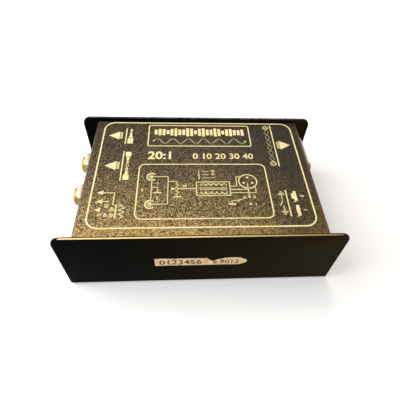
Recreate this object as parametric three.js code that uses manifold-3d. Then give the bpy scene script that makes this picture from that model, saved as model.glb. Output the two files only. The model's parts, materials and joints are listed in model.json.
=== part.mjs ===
// Passive direct injection box: a sheet-steel tray and cover around a matching transformer,
// two quarter-inch jacks and a three-step pad switch on the left, and a three-pin male socket
// and a latching ground-lift button on the right.
//
// Millimetres, +Z up. X runs along the end plates (left is -X), Y runs from the front plate to
// the rear plate, and the origin is the centre of the tray's underside.

import * as THREE from "three";
import { RoundedBoxGeometry } from "three/addons/geometries/RoundedBoxGeometry.js";
import { mergeVertices } from "three/addons/utils/BufferGeometryUtils.js";
import Module from "manifold-3d";

const wasm = await Module();
wasm.setup();

// ---------------------------------------------------------------------------
// Driving dimensions
// ---------------------------------------------------------------------------

// Fits
const meshGap = 0.3; // air left between two bodies that meet at a cut
const threadGap = 0.15; // radial air between a thread and its hole
const slideGap = 0.25; // air around a sliding piece
const roundSides = 24; // sides of a large round piece
const smallSides = 12; // sides of a small round piece

// Tray
const plateLength = 130;
const trayDepth = 82;
const plateHeight = 40;
const traySheet = 1.6;
const trayInnerBend = 0.3; // radius inside the bend
const plateCornerRadius = 4.5;
const bendSteps = 4; // flats in each rounded bend or corner

// Cover
const plateOverhang = 7.9; // plates past the cover, at each side
const plateRise = 2; // plates above the cover
const coverSheet = 1.2;
const coverBendRadius = 2.2; // outside of the bend
const coverFlangeWidth = 10;

// Cover screws, countersunk M3
const screwRadius = 1.45;
const sunkHeadRadius = 2.8;
const sunkHeadDepth = 1.5;
const coverScrewLength = 6;
const coverScrewInset = 5; // from the cover's inner wall face
const coverScrewSpacing = 60; // along Y
const driveRadius = 1.0; // cross recess drawn as a round socket
const driveDepth = 0.8;
const panRimShare = 0.55; // upright part of a pan head's height
const panCrownShare = 0.72; // flat crown's radius over the head's
const panDriveShare = 0.36; // drive socket's radius over the head's
const panDriveFloorShare = 0.4; // socket floor's height over the head's

// Circuit board and its standoffs
const standoffHeight = 8;
const standoffRadius = 3;
const standoffShankRadius = 2.1;
const boardSheet = 1.6;
const boardSideGap = 1.9; // to the cover's walls
const boardEndGap = 2.95; // to the cover's open ends
const panHeadRadius = 2.75;
const panHeadHeight = 1.9;
const boardScrewLength = 5;
const standoffInset = 5; // from the board's long edges
const standoffAir = 1; // between a standoff and the cover's flange
const standoffBehindJack = 4.9; // from the jack housings
const standoffBehindSocket = 14.1; // from the socket's barrel

// Quarter-inch jacks
const jackHeight = 18.4; // height of the jack axis
const jackPlaces = { input: 24.3, through: 0.5 }; // along Y
const jackBore = 3.25; // radius, for a 6.35 mm plug
const bushingRadius = 4.7;
const bushingReach = 9.2; // out from the cover
const bushingSeat = 3.5; // into the housing
const bushingLip = 0.6; // rounding of the mouth
const bushingLipInner = 0.3; // share of the lip that slopes into the bore
const bushingLipOuter = 0.5; // share of the lip that slopes to the outside
const jackHousingLength = 24;
const jackHousingWidth = 16;
const jackHousingTop = 7.3; // above the jack axis
const jackBoreDepth = 26; // from the bushing's mouth to the end of the plug's way
const collarWidth = 2.95; // ring width of the insulating collar's flange
const collarShoulder = 0.75; // ring width of its shoulder
const collarThickness = 2.2;
const collarRounding = 0.4; // of the flange's rim
const washerWidth = 2.75; // ring width
const washerThickness = 1.0;
const nutWall = 1.5; // thinnest, at the middle of a flat
const nutThickness = 3.6;
const nutChamferSlope = 1.1; // depth of the corner chamfer over its width
const springSheet = 0.5; // tip contact
const springWidth = 3;
const springReach = 8;
const springTailRise = 2; // above the housing
const springNoseStep = 1; // length of each slope of the bent nose
const springNoseLift = 0.6; // height of the nose's slopes

// Pad switch, three positions
const padJackAir = 0.4; // between the switch's ear and the jack housing
const padHeight = 18.4;
const padPitch = 3; // between positions
const padCanLength = 14.5;
const padCanWidth = 7.5;
const padCanDepth = 6;
const padSheet = 0.6;
const padEarLength = 24;
const padScrewSpacing = 19;
const padScrewRadius = 0.95;
const padScrewHeadRadius = 1.9;
const padScrewHeadHeight = 1.3;
const padScrewLength = 4;
const padKnobLength = 4.2; // along the travel
const padKnobWidth = 3.6;
const padKnobReach = 4.6; // out from the cover
const padCarriageLength = 7;
const padCarriageDepth = 2.2;
const padBaseSheet = 1.3;
const padTerminalRadius = 0.5;
const padTerminalReach = 3.5;
const padTerminalPitch = 4;
const wiperSheet = 0.35;
const wiperTip = 0.4; // width of each contact tip
const wiperOverlap = 0.6; // bridge past the terminals, on each side
const wiperWidthShare = 0.6; // of the knob's width

// Three-pin male socket
const socketPlaceY = 19.5;
const socketHeight = 19;
const socketFlangeWidth = 26;
const socketFlangeHeight = 31;
const socketFlangeSheet = 1.8;
const socketFlangeCorner = 3.5;
const socketBarrelRadius = 11.6;
const socketBarrelLength = 19; // behind the flange
const socketMouthRadius = 8.2;
const socketMouthDepth = 14;
const socketKeyWidth = 4.6;
const socketKeyDepth = 1.3;
const socketRimRadius = 10.4; // raised ring around the mouth
const socketRimHeight = 0.7;
const socketScrewX = 9.5; // half of the screw spacing
const socketScrewZ = 12;
const socketScrewLength = 6;
const pinRadius = 1.2;
const pinCircle = 4.4;
const pinSetback = 2; // behind the flange face
const pinTailLength = 6;
const pinTailRadius = 1.0;
const insertBackReach = 1.5; // past the barrel's end

// Ground-lift button
const buttonPlaceY = -20.5;
const buttonHeightOverBoard = 5.5;
const buttonTravel = 3;
const buttonReach = 5.6; // out from the cover
const buttonCapRadius = 3.4;
const buttonCapLength = 9.6;
const buttonHousingLength = 18;
const buttonHousingWidth = 9;
const buttonHousingHeight = 9;
const buttonHousingSetback = 10.4; // housing front behind the cover's inner face
const plungerWidth = 3;
const plungerInside = 11; // length inside the housing
const plungerCollar = 5.4;
const plungerCollarSheet = 1;
const springWire = 0.25; // radius
const springTurns = 4;
const springCoilRadius = 2.6;
const springSteps = 10; // per turn

// Matching transformer
const coreWidth = 26;
const coreHeight = 22;
const coreStack = 10;
const coreLimb = 8;
const coreYoke = 4;
const transformerX = 3; // right of the middle
const bobbinWall = 0.7;
const bobbinFlange = 19;
const bobbinFootHeight = 1.4;
const windingHeightGap = 0.3;
const windingThickness = 3.4;
const clampSheet = 0.6;
const clampWidth = 8;
const clampTabWidth = 3;

// Pad resistors and wires
const resistorRadius = 1.2;
const resistorLength = 6.4;
const resistorBulge = 1.2; // length of each end bulge
const resistorRounding = 0.4; // slope at both sides of a bulge
const resistorWaistShare = 0.85; // waist's radius over the bulge's
const leadBendShare = 0.4; // chamfer of a lead's corner over its lift
const resistorPitch = 10.2;
const leadRadius = 0.3;
const leadSides = 6;
const leadLift = 1.9; // lead's height over the board
const leadTail = 1.2; // below the board
const resistorPlaces = [-12, -16.5, -21, -25.5]; // along Y
const resistorJackAir = 2.8; // from the jack housings
const wireRadius = 0.6;
const wireSides = 7;
const wireSteps = 14;

// ---------------------------------------------------------------------------
// Places worked out from the driving dimensions
// ---------------------------------------------------------------------------

const trayBendRadius = trayInnerBend + traySheet;
const wallOuter = plateLength / 2 - plateOverhang;
const wallInner = wallOuter - coverSheet;
const coverTop = plateHeight - plateRise;
const plateInner = trayDepth / 2 - traySheet;
const coverHalf = plateInner - trayInnerBend - threadGap; // clears the tray's inner bends
const flangeEdge = wallInner - coverFlangeWidth;
const boardBottom = traySheet + standoffHeight;
const boardTop = boardBottom + boardSheet;
const boardHalfX = wallInner - boardSideGap;
const boardHalfY = coverHalf - boardEndGap;
const barrelBack = wallOuter - socketBarrelLength;
const jackBack = -wallInner + jackHousingLength;
const jackHole = bushingRadius + threadGap;
const collarShoulderRadius = jackHole + collarShoulder;
const collarOut = wallOuter + collarThickness;
const washerOut = collarOut + washerThickness;
const bushingEnd = wallOuter + bushingReach;
const buttonHeight = boardTop + buttonHeightOverBoard;
const buttonHousingFront = wallInner - buttonHousingSetback;
const buttonCapEnd = wallOuter + buttonReach;
const padCanInner = wallInner - padCanDepth;
const padPlaceY = jackPlaces.through - jackHousingWidth / 2 - padJackAir - padEarLength / 2;
const resistorX = jackBack + resistorJackAir + resistorPitch / 2;
const standoffX = flangeEdge - standoffRadius - standoffAir;
const standoffY = boardHalfY - standoffInset;
const standoffPlaces = [
  [jackBack + standoffBehindJack, standoffY],
  [-standoffX, -standoffY],
  [standoffX, -standoffY],
  [barrelBack - standoffBehindSocket, standoffY],
];

// ---------------------------------------------------------------------------
// Finishes
// ---------------------------------------------------------------------------

function finish(color, roughness, metalness) {
  return new THREE.MeshStandardMaterial({ color, roughness, metalness });
}

const finishes = {
  satinBlackSteel: () => finish(0x0c0b0a, 0.38, 0.1),
  texturedBlackSteel: () => finish(0x1b1814, 0.55, 0.1),
  zincSteel: () => finish(0xb9b7ae, 0.35, 0.9),
  blackScrew: () => finish(0x1a1a1a, 0.4, 0.7),
  nickel: () => finish(0xc4bda8, 0.25, 1),
  goldBrass: () => finish(0xe2b24c, 0.25, 1),
  blackPlastic: () => finish(0x141414, 0.5, 0),
  boardGreen: () => finish(0x2c5a2e, 0.5, 0),
  phenolic: () => finish(0x7a4a22, 0.6, 0),
  siliconSteel: () => finish(0x6f6a66, 0.5, 0.8),
  copperWinding: () => finish(0xa3582a, 0.4, 0.6),
  diecastZinc: () => finish(0x9d9c98, 0.4, 0.9),
  resistorTan: () => finish(0xc9a36b, 0.5, 0),
  redWire: () => finish(0x9d2419, 0.5, 0),
  blackWire: () => finish(0x161616, 0.5, 0),
  whiteWire: () => finish(0xd8d4c8, 0.5, 0),
};

// ---------------------------------------------------------------------------
// Shape helpers
// ---------------------------------------------------------------------------

// The closed solid of a geometry, for joining and cutting.
function solidOf(geometry) {
  const bare = geometry.index ? geometry.toNonIndexed() : geometry.clone();
  for (const name of Object.keys(bare.attributes)) {
    if (name !== "position") bare.deleteAttribute(name);
  }
  const merged = mergeVertices(bare, 1e-4);
  return new wasm.Manifold(
    new wasm.Mesh({
      numProp: 3,
      vertProperties: new Float32Array(merged.attributes.position.array),
      triVerts: new Uint32Array(merged.index.array),
    }),
  );
}

function geometryOf(solid) {
  const mesh = solid.getMesh();
  const geometry = new THREE.BufferGeometry();
  const places = new Float32Array(mesh.vertProperties);
  geometry.setAttribute("position", new THREE.BufferAttribute(places, 3));
  geometry.setIndex(new THREE.BufferAttribute(new Uint32Array(mesh.triVerts), 1));
  const flat = geometry.toNonIndexed();
  flat.computeVertexNormals();
  return flat;
}

function cut(geometry, ...tools) {
  let solid = solidOf(geometry);
  for (const tool of tools) solid = solid.subtract(solidOf(tool));
  return geometryOf(solid);
}

function join(geometry, ...others) {
  let solid = solidOf(geometry);
  for (const other of others) solid = solid.add(solidOf(other));
  return geometryOf(solid);
}

function common(first, second) {
  return geometryOf(solidOf(first).intersect(solidOf(second)));
}

// A box between two corners.
function box(x0, x1, y0, y1, z0, z1) {
  const shape = new THREE.BoxGeometry(x1 - x0, y1 - y0, z1 - z0);
  return shape.translate((x0 + x1) / 2, (y0 + y1) / 2, (z0 + z1) / 2);
}

// A turned piece from [radius, height] pairs that start and end on the axis or close.
function turned(profile, sides) {
  const points = profile.map(([radius, height]) => new THREE.Vector2(radius, height));
  return new THREE.LatheGeometry(points, sides);
}

// The same, standing along +Z from a height, at (x, y).
function turnedUp(profile, sides, x, y, z) {
  return turned(profile, sides).rotateX(Math.PI / 2).translate(x, y, z);
}

// The same, lying along +X (side 1) or -X (side -1) from x, at (y, z).
function turnedOut(profile, sides, side, x, y, z) {
  return turned(profile, sides).rotateZ((-side * Math.PI) / 2).translate(x, y, z);
}

// A rod's profile from one height to another.
function rod(radius, from, to) {
  return [
    [0, from],
    [radius, from],
    [radius, to],
    [0, to],
  ];
}

// A tube's closed profile.
function tube(inner, outer, from, to) {
  return [
    [inner, from],
    [outer, from],
    [outer, to],
    [inner, to],
    [inner, from],
  ];
}

function rodUp(radius, x, y, z0, z1, sides = smallSides) {
  return turnedUp(rod(radius, 0, z1 - z0), sides, x, y, z0);
}

function rodAlongX(radius, x0, x1, y, z, sides = smallSides) {
  return turnedOut(rod(radius, 0, x1 - x0), sides, 1, x0, y, z);
}

// Round stretch of an outline: points on an arc about a centre.
function arc(centreX, centreY, radius, from, to, steps) {
  const points = [];
  for (let step = 0; step <= steps; step += 1) {
    const turn = from + ((to - from) * step) / steps;
    points.push([centreX + radius * Math.cos(turn), centreY + radius * Math.sin(turn)]);
  }
  return points;
}

function outline(points) {
  return new THREE.Shape(points.map(([across, up]) => new THREE.Vector2(across, up)));
}

// An outline in (Y, Z) pushed along X, centred on x = 0.
function pushedAlongX(points, length) {
  const shape = new THREE.ExtrudeGeometry(outline(points), {
    depth: length,
    bevelEnabled: false,
  });
  const axes = new THREE.Matrix4().makeBasis(
    new THREE.Vector3(0, 1, 0),
    new THREE.Vector3(0, 0, 1),
    new THREE.Vector3(1, 0, 0),
  );
  return shape.applyMatrix4(axes).translate(-length / 2, 0, 0);
}

// An outline in (X, Z) pushed along Y, centred on y = 0.
function pushedAlongY(points, length) {
  const shape = new THREE.ExtrudeGeometry(outline(points), {
    depth: length,
    bevelEnabled: false,
  });
  return shape.rotateX(Math.PI / 2).translate(0, length / 2, 0);
}

// An outline in (X, Y) pushed along Z, centred on z = 0.
function pushedAlongZ(points, height) {
  const shape = new THREE.ExtrudeGeometry(outline(points), {
    depth: height,
    bevelEnabled: false,
  });
  return shape.translate(0, 0, -height / 2);
}

// A round section pushed along a curve through points.
function wireAlong(points, radius, sides, steps) {
  const curve = new THREE.CatmullRomCurve3(
    points.map(([x, y, z]) => new THREE.Vector3(x, y, z)),
    false,
    "centripetal",
  );
  const section = outline(arc(0, 0, radius, 0, 2 * Math.PI, sides).slice(0, sides));
  return new THREE.ExtrudeGeometry(section, { steps, extrudePath: curve, bevelEnabled: false });
}

const product = new THREE.Group();

function addPiece(name, geometry, material) {
  const mesh = new THREE.Mesh(geometry, material());
  mesh.name = name;
  product.add(mesh);
}

// ---------------------------------------------------------------------------
// Fasteners
// ---------------------------------------------------------------------------

// Countersunk screw standing up from a flush head, with its drive socket below.
function sunkScrew(x, y, length) {
  const profile = [
    [0, driveDepth],
    [driveRadius, driveDepth],
    [driveRadius, 0],
    [sunkHeadRadius, 0],
    [screwRadius, sunkHeadDepth],
    [screwRadius, length],
    [0, length],
  ];
  return turnedUp(profile, smallSides, x, y, 0);
}

// Pan-head screw whose head starts at 0 and whose shank runs to -length.
function panScrewProfile(headRadius, headHeight, shankRadius, length) {
  const crownRadius = headRadius * panCrownShare;
  const driveWidth = headRadius * panDriveShare;
  const driveFloor = headHeight * panDriveFloorShare;
  return [
    [0, -length],
    [shankRadius, -length],
    [shankRadius, 0],
    [headRadius, 0],
    [headRadius, headHeight * panRimShare],
    [crownRadius, headHeight],
    [driveWidth, headHeight],
    [driveWidth, driveFloor],
    [0, driveFloor],
  ];
}

// ---------------------------------------------------------------------------
// Tray and cover
// ---------------------------------------------------------------------------

const coverScrewPlaces = [];
for (const side of [-1, 1]) {
  for (const end of [-1, 1]) {
    const x = side * (wallInner - coverScrewInset);
    coverScrewPlaces.push([x, (end * coverScrewSpacing) / 2]);
  }
}

function trayGeometry() {
  const outer = trayDepth / 2;
  const inner = outer - traySheet;
  const centre = outer - trayBendRadius;
  const innerBend = trayBendRadius - traySheet;
  const right = Math.PI / 2;
  const channel = pushedAlongX(
    [
      ...arc(centre, trayBendRadius, trayBendRadius, -right, 0, bendSteps),
      [outer, plateHeight],
      [inner, plateHeight],
      ...arc(centre, trayBendRadius, innerBend, 0, -right, bendSteps),
      ...arc(-centre, trayBendRadius, innerBend, -right, -2 * right, bendSteps),
      [-inner, plateHeight],
      [-outer, plateHeight],
      ...arc(-centre, trayBendRadius, trayBendRadius, -2 * right, -right, bendSteps),
    ],
    plateLength,
  );
  const half = plateLength / 2;
  const low = -1; // the corner outline runs past the tray below
  const cornerZ = plateHeight - plateCornerRadius;
  const cornerX = half - plateCornerRadius;
  const corners = pushedAlongY(
    [
      [-half, low],
      [half, low],
      ...arc(cornerX, cornerZ, plateCornerRadius, 0, right, bendSteps),
      ...arc(-cornerX, cornerZ, plateCornerRadius, right, 2 * right, bendSteps),
    ],
    trayDepth + 2,
  );
  const sinkRadius = sunkHeadRadius + threadGap;
  const holeRadius = screwRadius + threadGap;
  const slope = (sinkRadius - holeRadius) / sunkHeadDepth;
  const screwHoles = coverScrewPlaces.map(([x, y]) =>
    turnedUp(
      [
        [0, -1],
        [sinkRadius + slope, -1],
        [holeRadius, sunkHeadDepth],
        [holeRadius, traySheet + 1],
        [0, traySheet + 1],
      ],
      smallSides,
      x,
      y,
      0,
    ),
  );
  const standoffHoles = standoffPlaces.map(([x, y]) =>
    rodUp(standoffShankRadius + threadGap, x, y, -1, traySheet + 1),
  );
  return cut(common(channel, corners), ...screwHoles, ...standoffHoles);
}

// Holes that the socket, its screws, the button, the jacks and the pad switch need.
function wallHoles() {
  const holes = [];
  const from = wallInner - 1;
  const to = wallOuter + 1;
  for (const y of Object.values(jackPlaces)) {
    const hole = collarShoulderRadius + threadGap;
    holes.push(rodAlongX(hole, -to, -from, y, jackHeight, roundSides));
  }
  const slot = padKnobLength / 2 + padPitch + slideGap;
  const slotHalf = padKnobWidth / 2 + slideGap;
  holes.push(
    box(-to, -from, padPlaceY - slot, padPlaceY + slot, padHeight - slotHalf, padHeight + slotHalf),
  );
  for (const end of [-1, 1]) {
    const y = padPlaceY + (end * padScrewSpacing) / 2;
    holes.push(rodAlongX(padScrewRadius + threadGap, -to, -from, y, padHeight));
  }
  const barrelHole = socketBarrelRadius + meshGap;
  holes.push(rodAlongX(barrelHole, from, to, socketPlaceY, socketHeight, roundSides));
  for (const side of [-1, 1]) {
    const y = socketPlaceY + side * socketScrewX;
    const z = socketHeight - side * socketScrewZ;
    holes.push(rodAlongX(screwRadius + threadGap, from, to, y, z));
  }
  const capHole = buttonCapRadius + slideGap;
  holes.push(rodAlongX(capHole, from, to, buttonPlaceY, buttonHeight, roundSides));
  return holes;
}

function coverGeometry() {
  const bottom = traySheet;
  const bendZ = coverTop - coverBendRadius;
  const bendX = wallOuter - coverBendRadius;
  const innerBend = coverBendRadius - coverSheet;
  const right = Math.PI / 2;
  const sheet = pushedAlongY(
    [
      [flangeEdge, bottom],
      [wallOuter, bottom],
      ...arc(bendX, bendZ, coverBendRadius, 0, right, bendSteps),
      ...arc(-bendX, bendZ, coverBendRadius, right, 2 * right, bendSteps),
      [-wallOuter, bottom],
      [-flangeEdge, bottom],
      [-flangeEdge, bottom + coverSheet],
      [-wallInner, bottom + coverSheet],
      ...arc(-bendX, bendZ, innerBend, 2 * right, right, bendSteps),
      ...arc(bendX, bendZ, innerBend, right, 0, bendSteps),
      [wallInner, bottom + coverSheet],
      [flangeEdge, bottom + coverSheet],
    ],
    2 * coverHalf,
  );
  const screwHoles = coverScrewPlaces.map(([x, y]) =>
    rodUp(screwRadius + threadGap, x, y, bottom - 1, bottom + coverSheet + 1),
  );
  return cut(sheet, ...screwHoles, ...wallHoles());
}

function addCase() {
  addPiece("chassis_tray", trayGeometry(), finishes.satinBlackSteel);
  addPiece("cover_shell", coverGeometry(), finishes.texturedBlackSteel);
  coverScrewPlaces.forEach(([x, y], index) => {
    const screw = sunkScrew(x, y, coverScrewLength);
    addPiece(`cover_screw_${index + 1}`, screw, finishes.blackScrew);
  });
}

// ---------------------------------------------------------------------------
// Circuit board, standoffs and pad resistors
// ---------------------------------------------------------------------------

function boardGeometry() {
  const sheet = box(
    -boardHalfX,
    boardHalfX,
    -boardHalfY,
    boardHalfY,
    boardBottom,
    boardTop,
  );
  const below = boardBottom - 1;
  const above = boardTop + 1;
  const socketRoom = socketBarrelRadius + 1;
  const tools = [
    box(
      barrelBack - 2,
      boardHalfX + 1,
      socketPlaceY - socketRoom,
      boardHalfY + 1,
      below,
      above,
    ),
  ];
  for (const [x, y] of standoffPlaces) {
    tools.push(rodUp(screwRadius + threadGap, x, y, below, above));
  }
  for (const y of resistorPlaces) {
    for (const end of [-1, 1]) {
      const x = resistorX + (end * resistorPitch) / 2;
      tools.push(rodUp(leadRadius + threadGap, x, y, below, above, leadSides));
    }
  }
  const tabHalf = clampTabWidth / 2 + threadGap;
  for (const end of [-1, 1]) {
    const x = transformerX + end * (coreWidth / 2 + meshGap + clampSheet / 2);
    const reach = clampSheet / 2 + threadGap;
    tools.push(box(x - reach, x + reach, -tabHalf, tabHalf, below, above));
  }
  return cut(sheet, ...tools);
}

function standoffGeometry(x, y) {
  const bore = screwRadius + threadGap;
  const profile = [
    [bore, 0],
    [standoffShankRadius, 0],
    [standoffShankRadius, traySheet],
    [standoffRadius, traySheet],
    [standoffRadius, boardBottom],
    [bore, boardBottom],
    [bore, 0],
  ];
  return turnedUp(profile, smallSides, x, y, 0);
}

function resistorGeometry(y) {
  const half = resistorPitch / 2;
  const bend = leadLift * leadBendShare;
  const lift = boardTop + leadLift;
  const foot = boardBottom - leadTail;
  const lead = wireAlong(
    [
      [resistorX - half, y, foot],
      [resistorX - half, y, boardTop],
      [resistorX - half, y, lift - bend],
      [resistorX - half + bend, y, lift],
      [resistorX, y, lift],
      [resistorX + half - bend, y, lift],
      [resistorX + half, y, lift - bend],
      [resistorX + half, y, boardTop],
      [resistorX + half, y, foot],
    ],
    leadRadius,
    leadSides,
    wireSteps,
  );
  const end = resistorLength / 2;
  const waist = resistorRadius * resistorWaistShare;
  const shoulder = end - resistorBulge;
  const body = turnedOut(
    [
      [0, -end],
      [resistorRadius, -end + resistorRounding],
      [resistorRadius, -shoulder],
      [waist, -shoulder + resistorRounding],
      [waist, shoulder - resistorRounding],
      [resistorRadius, shoulder],
      [resistorRadius, end - resistorRounding],
      [0, end],
    ],
    smallSides,
    1,
    resistorX,
    y,
    lift,
  );
  return join(lead, body);
}

function addBoard() {
  addPiece("circuit_board", boardGeometry(), finishes.boardGreen);
  standoffPlaces.forEach(([x, y], index) => {
    addPiece(`board_standoff_${index + 1}`, standoffGeometry(x, y), finishes.zincSteel);
    const profile = panScrewProfile(
      panHeadRadius,
      panHeadHeight,
      screwRadius,
      boardScrewLength,
    );
    const screw = turnedUp(profile, smallSides, x, y, boardTop);
    addPiece(`board_screw_${index + 1}`, screw, finishes.zincSteel);
  });
  resistorPlaces.forEach((y, index) => {
    addPiece(`pad_resistor_${index + 1}`, resistorGeometry(y), finishes.resistorTan);
  });
}

// ---------------------------------------------------------------------------
// Quarter-inch jacks, whose mouths face -X
// ---------------------------------------------------------------------------

function jackHousingGeometry(y) {
  const front = -wallInner;
  const half = jackHousingWidth / 2;
  const body = box(front, jackBack, y - half, y + half, boardTop, jackHeight + jackHousingTop);
  const seatEnd = front + bushingSeat;
  const seat = rodAlongX(jackHole, front - 1, seatEnd, y, jackHeight, roundSides);
  const boreEnd = -bushingEnd + jackBoreDepth;
  const bore = rodAlongX(jackBore + threadGap, seatEnd - 1, boreEnd, y, jackHeight, roundSides);
  // Slot above the bore, open at the top, in which the tip contact stands
  const slotHalf = springWidth / 2 + meshGap;
  const slot = box(
    boreEnd - springReach - meshGap,
    boreEnd,
    y - slotHalf,
    y + slotHalf,
    jackHeight,
    jackHeight + jackHousingTop + 1,
  );
  return cut(body, seat, bore, slot);
}

// Threaded sleeve with a rounded mouth, drawn from its mouth inwards.
function bushingGeometry(y) {
  const length = bushingReach + coverSheet + bushingSeat - threadGap;
  const inner = bushingLip * bushingLipInner;
  const outer = bushingLip * bushingLipOuter;
  const profile = [
    [jackBore, bushingLip],
    [jackBore + inner, inner],
    [jackBore + bushingLip, 0],
    [bushingRadius - outer, 0],
    [bushingRadius, outer],
    [bushingRadius, length],
    [jackBore, length],
    [jackBore, bushingLip],
  ];
  return turnedOut(profile, roundSides, 1, -bushingEnd, y, jackHeight);
}

// Insulating collar: a flange outside the cover and a shoulder through its hole.
function collarGeometry(y) {
  const outer = jackHole + collarWidth;
  const through = collarThickness + coverSheet - threadGap;
  const profile = [
    [jackHole, 0],
    [outer - collarRounding, 0],
    [outer, collarRounding],
    [outer, collarThickness],
    [collarShoulderRadius, collarThickness],
    [collarShoulderRadius, through],
    [jackHole, through],
    [jackHole, 0],
  ];
  return turnedOut(profile, roundSides, 1, -collarOut, y, jackHeight);
}

function washerGeometry(y) {
  const profile = tube(jackHole, jackHole + washerWidth, 0, washerThickness);
  return turnedOut(profile, roundSides, 1, -washerOut, y, jackHeight);
}

// Hex nut with its outer corners chamfered by a cone.
function nutGeometry(y) {
  const flat = jackHole + nutWall;
  const corner = (2 * flat) / Math.sqrt(3);
  const hex = turned(rod(corner, 0, nutThickness), 6);
  const crown = corner - flat;
  const dish = turned(
    [
      [0, 0],
      [flat, 0],
      [corner + crown, crown * nutChamferSlope],
      [corner + crown, nutThickness],
      [0, nutThickness],
    ],
    roundSides,
  );
  const hole = turned(rod(jackHole, -1, nutThickness + 1), roundSides);
  const nut = cut(common(hex, dish), hole);
  return nut
    .rotateZ(-Math.PI / 2)
    .rotateX(Math.PI / 12)
    .translate(-washerOut - nutThickness, y, jackHeight);
}

// Tip contact: a leaf that stands in the housing's slot and bends down to the bore.
function tipSpringGeometry(y) {
  const boreEnd = -bushingEnd + jackBoreDepth;
  const back = boreEnd - meshGap;
  const top = jackHeight + jackHousingTop;
  const low = jackHeight + jackBore + meshGap;
  const front = back - springReach + meshGap;
  const nose = front + springNoseStep;
  const heel = front + 2 * springNoseStep;
  const under = low + springNoseLift;
  const over = low + 2 * springNoseLift;
  const leaf = pushedAlongY(
    [
      [back - springSheet, top + springTailRise],
      [back - springSheet, low + 2 * springSheet],
      [heel, over],
      [nose, low + springSheet],
      [front, over],
      [front, under],
      [nose, low],
      [heel, under],
      [back - springSheet, low + springSheet],
      [back, low + springSheet],
      [back, top + springTailRise],
    ].reverse(),
    springWidth,
  );
  return leaf.translate(0, y, 0);
}

function addJack(name, y) {
  addPiece(`${name}_jack_housing`, jackHousingGeometry(y), finishes.blackPlastic);
  addPiece(`${name}_jack_bushing`, bushingGeometry(y), finishes.goldBrass);
  addPiece(`${name}_jack_tip_contact`, tipSpringGeometry(y), finishes.nickel);
  addPiece(`${name}_jack_collar`, collarGeometry(y), finishes.blackPlastic);
  addPiece(`${name}_jack_washer`, washerGeometry(y), finishes.nickel);
  addPiece(`${name}_jack_nut`, nutGeometry(y), finishes.nickel);
}

// ---------------------------------------------------------------------------
// Pad switch, whose knob slides along Y in the left wall
// ---------------------------------------------------------------------------

const padBaseOuter = -padCanInner; // x of the can's open back
const padTerminalPlaces = [-1, 0, 1].map((step) => padPlaceY + step * padTerminalPitch);

function padFrameGeometry() {
  const front = -wallInner;
  const ear = padEarLength / 2;
  const half = padCanLength / 2;
  const side = padCanWidth / 2;
  const plate = box(
    front,
    front + padSheet,
    padPlaceY - ear,
    padPlaceY + ear,
    padHeight - side,
    padHeight + side,
  );
  const can = box(
    front,
    padBaseOuter,
    padPlaceY - half,
    padPlaceY + half,
    padHeight - side,
    padHeight + side,
  );
  const room = box(
    front + padSheet,
    padBaseOuter + 1,
    padPlaceY - half + padSheet,
    padPlaceY + half - padSheet,
    padHeight - side + padSheet,
    padHeight + side - padSheet,
  );
  const slot = padKnobLength / 2 + padPitch + slideGap;
  const slotHalf = padKnobWidth / 2 + slideGap;
  const window = box(
    front - 1,
    front + padSheet + 1,
    padPlaceY - slot,
    padPlaceY + slot,
    padHeight - slotHalf,
    padHeight + slotHalf,
  );
  const screwHoles = [-1, 1].map((end) => {
    const y = padPlaceY + (end * padScrewSpacing) / 2;
    return rodAlongX(padScrewRadius + threadGap, front - 1, front + padSheet + 1, y, padHeight);
  });
  return cut(join(plate, can), room, window, ...screwHoles);
}

// Terminal base: a plate in the can's open back with three solder pins.
function padBaseGeometry() {
  const half = padCanLength / 2 - padSheet - threadGap;
  const side = padCanWidth / 2 - padSheet - threadGap;
  const plate = box(
    padBaseOuter - padBaseSheet,
    padBaseOuter,
    padPlaceY - half,
    padPlaceY + half,
    padHeight - side,
    padHeight + side,
  );
  const pins = padTerminalPlaces.map((y) => {
    const start = padBaseOuter - padBaseSheet / 2;
    return rodAlongX(padTerminalRadius, start, padBaseOuter + padTerminalReach, y, padHeight, 8);
  });
  return join(plate, ...pins);
}

function padKnobGeometry() {
  const floor = -wallInner + padSheet + slideGap;
  const side = padCanWidth / 2 - padSheet - slideGap;
  const carriage = box(
    floor,
    floor + padCarriageDepth,
    padPlaceY - padCarriageLength / 2,
    padPlaceY + padCarriageLength / 2,
    padHeight - side,
    padHeight + side,
  );
  const leverLength = floor + 1 + wallOuter + padKnobReach;
  const lever = new RoundedBoxGeometry(leverLength, padKnobLength, padKnobWidth, 1, 0.4);
  lever.translate(floor + 1 - leverLength / 2, padPlaceY, padHeight);
  return join(carriage, lever);
}

// Wiper: a thin bridge carried on the carriage's back that spans two terminals.
function padWiperGeometry() {
  const start = -wallInner + padSheet + slideGap + padCarriageDepth;
  const end = padBaseOuter - padBaseSheet - slideGap;
  const half = padTerminalPitch / 2;
  const rise = end - start;
  const leaf = pushedAlongZ(
    [
      [0, -half - wiperOverlap],
      [0, half + wiperOverlap],
      [rise, half],
      [rise, half - wiperTip],
      [wiperSheet, half - wiperOverlap],
      [wiperSheet, -half + wiperOverlap],
      [rise, -half + wiperTip],
      [rise, -half],
    ],
    padKnobWidth * wiperWidthShare,
  );
  return leaf.translate(start, padPlaceY, padHeight);
}

function addPadSwitch() {
  addPiece("pad_switch_frame", padFrameGeometry(), finishes.zincSteel);
  addPiece("pad_switch_base", padBaseGeometry(), finishes.phenolic);
  addPiece("pad_switch_knob", padKnobGeometry(), finishes.blackPlastic);
  addPiece("pad_switch_wiper", padWiperGeometry(), finishes.nickel);
  [-1, 1].forEach((end, index) => {
    const profile = panScrewProfile(
      padScrewHeadRadius,
      padScrewHeadHeight,
      padScrewRadius,
      padScrewLength,
    );
    const y = padPlaceY + (end * padScrewSpacing) / 2;
    const screw = turnedOut(profile, smallSides, -1, -wallOuter, y, padHeight);
    addPiece(`pad_switch_screw_${index + 1}`, screw, finishes.blackScrew);
  });
}

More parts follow.
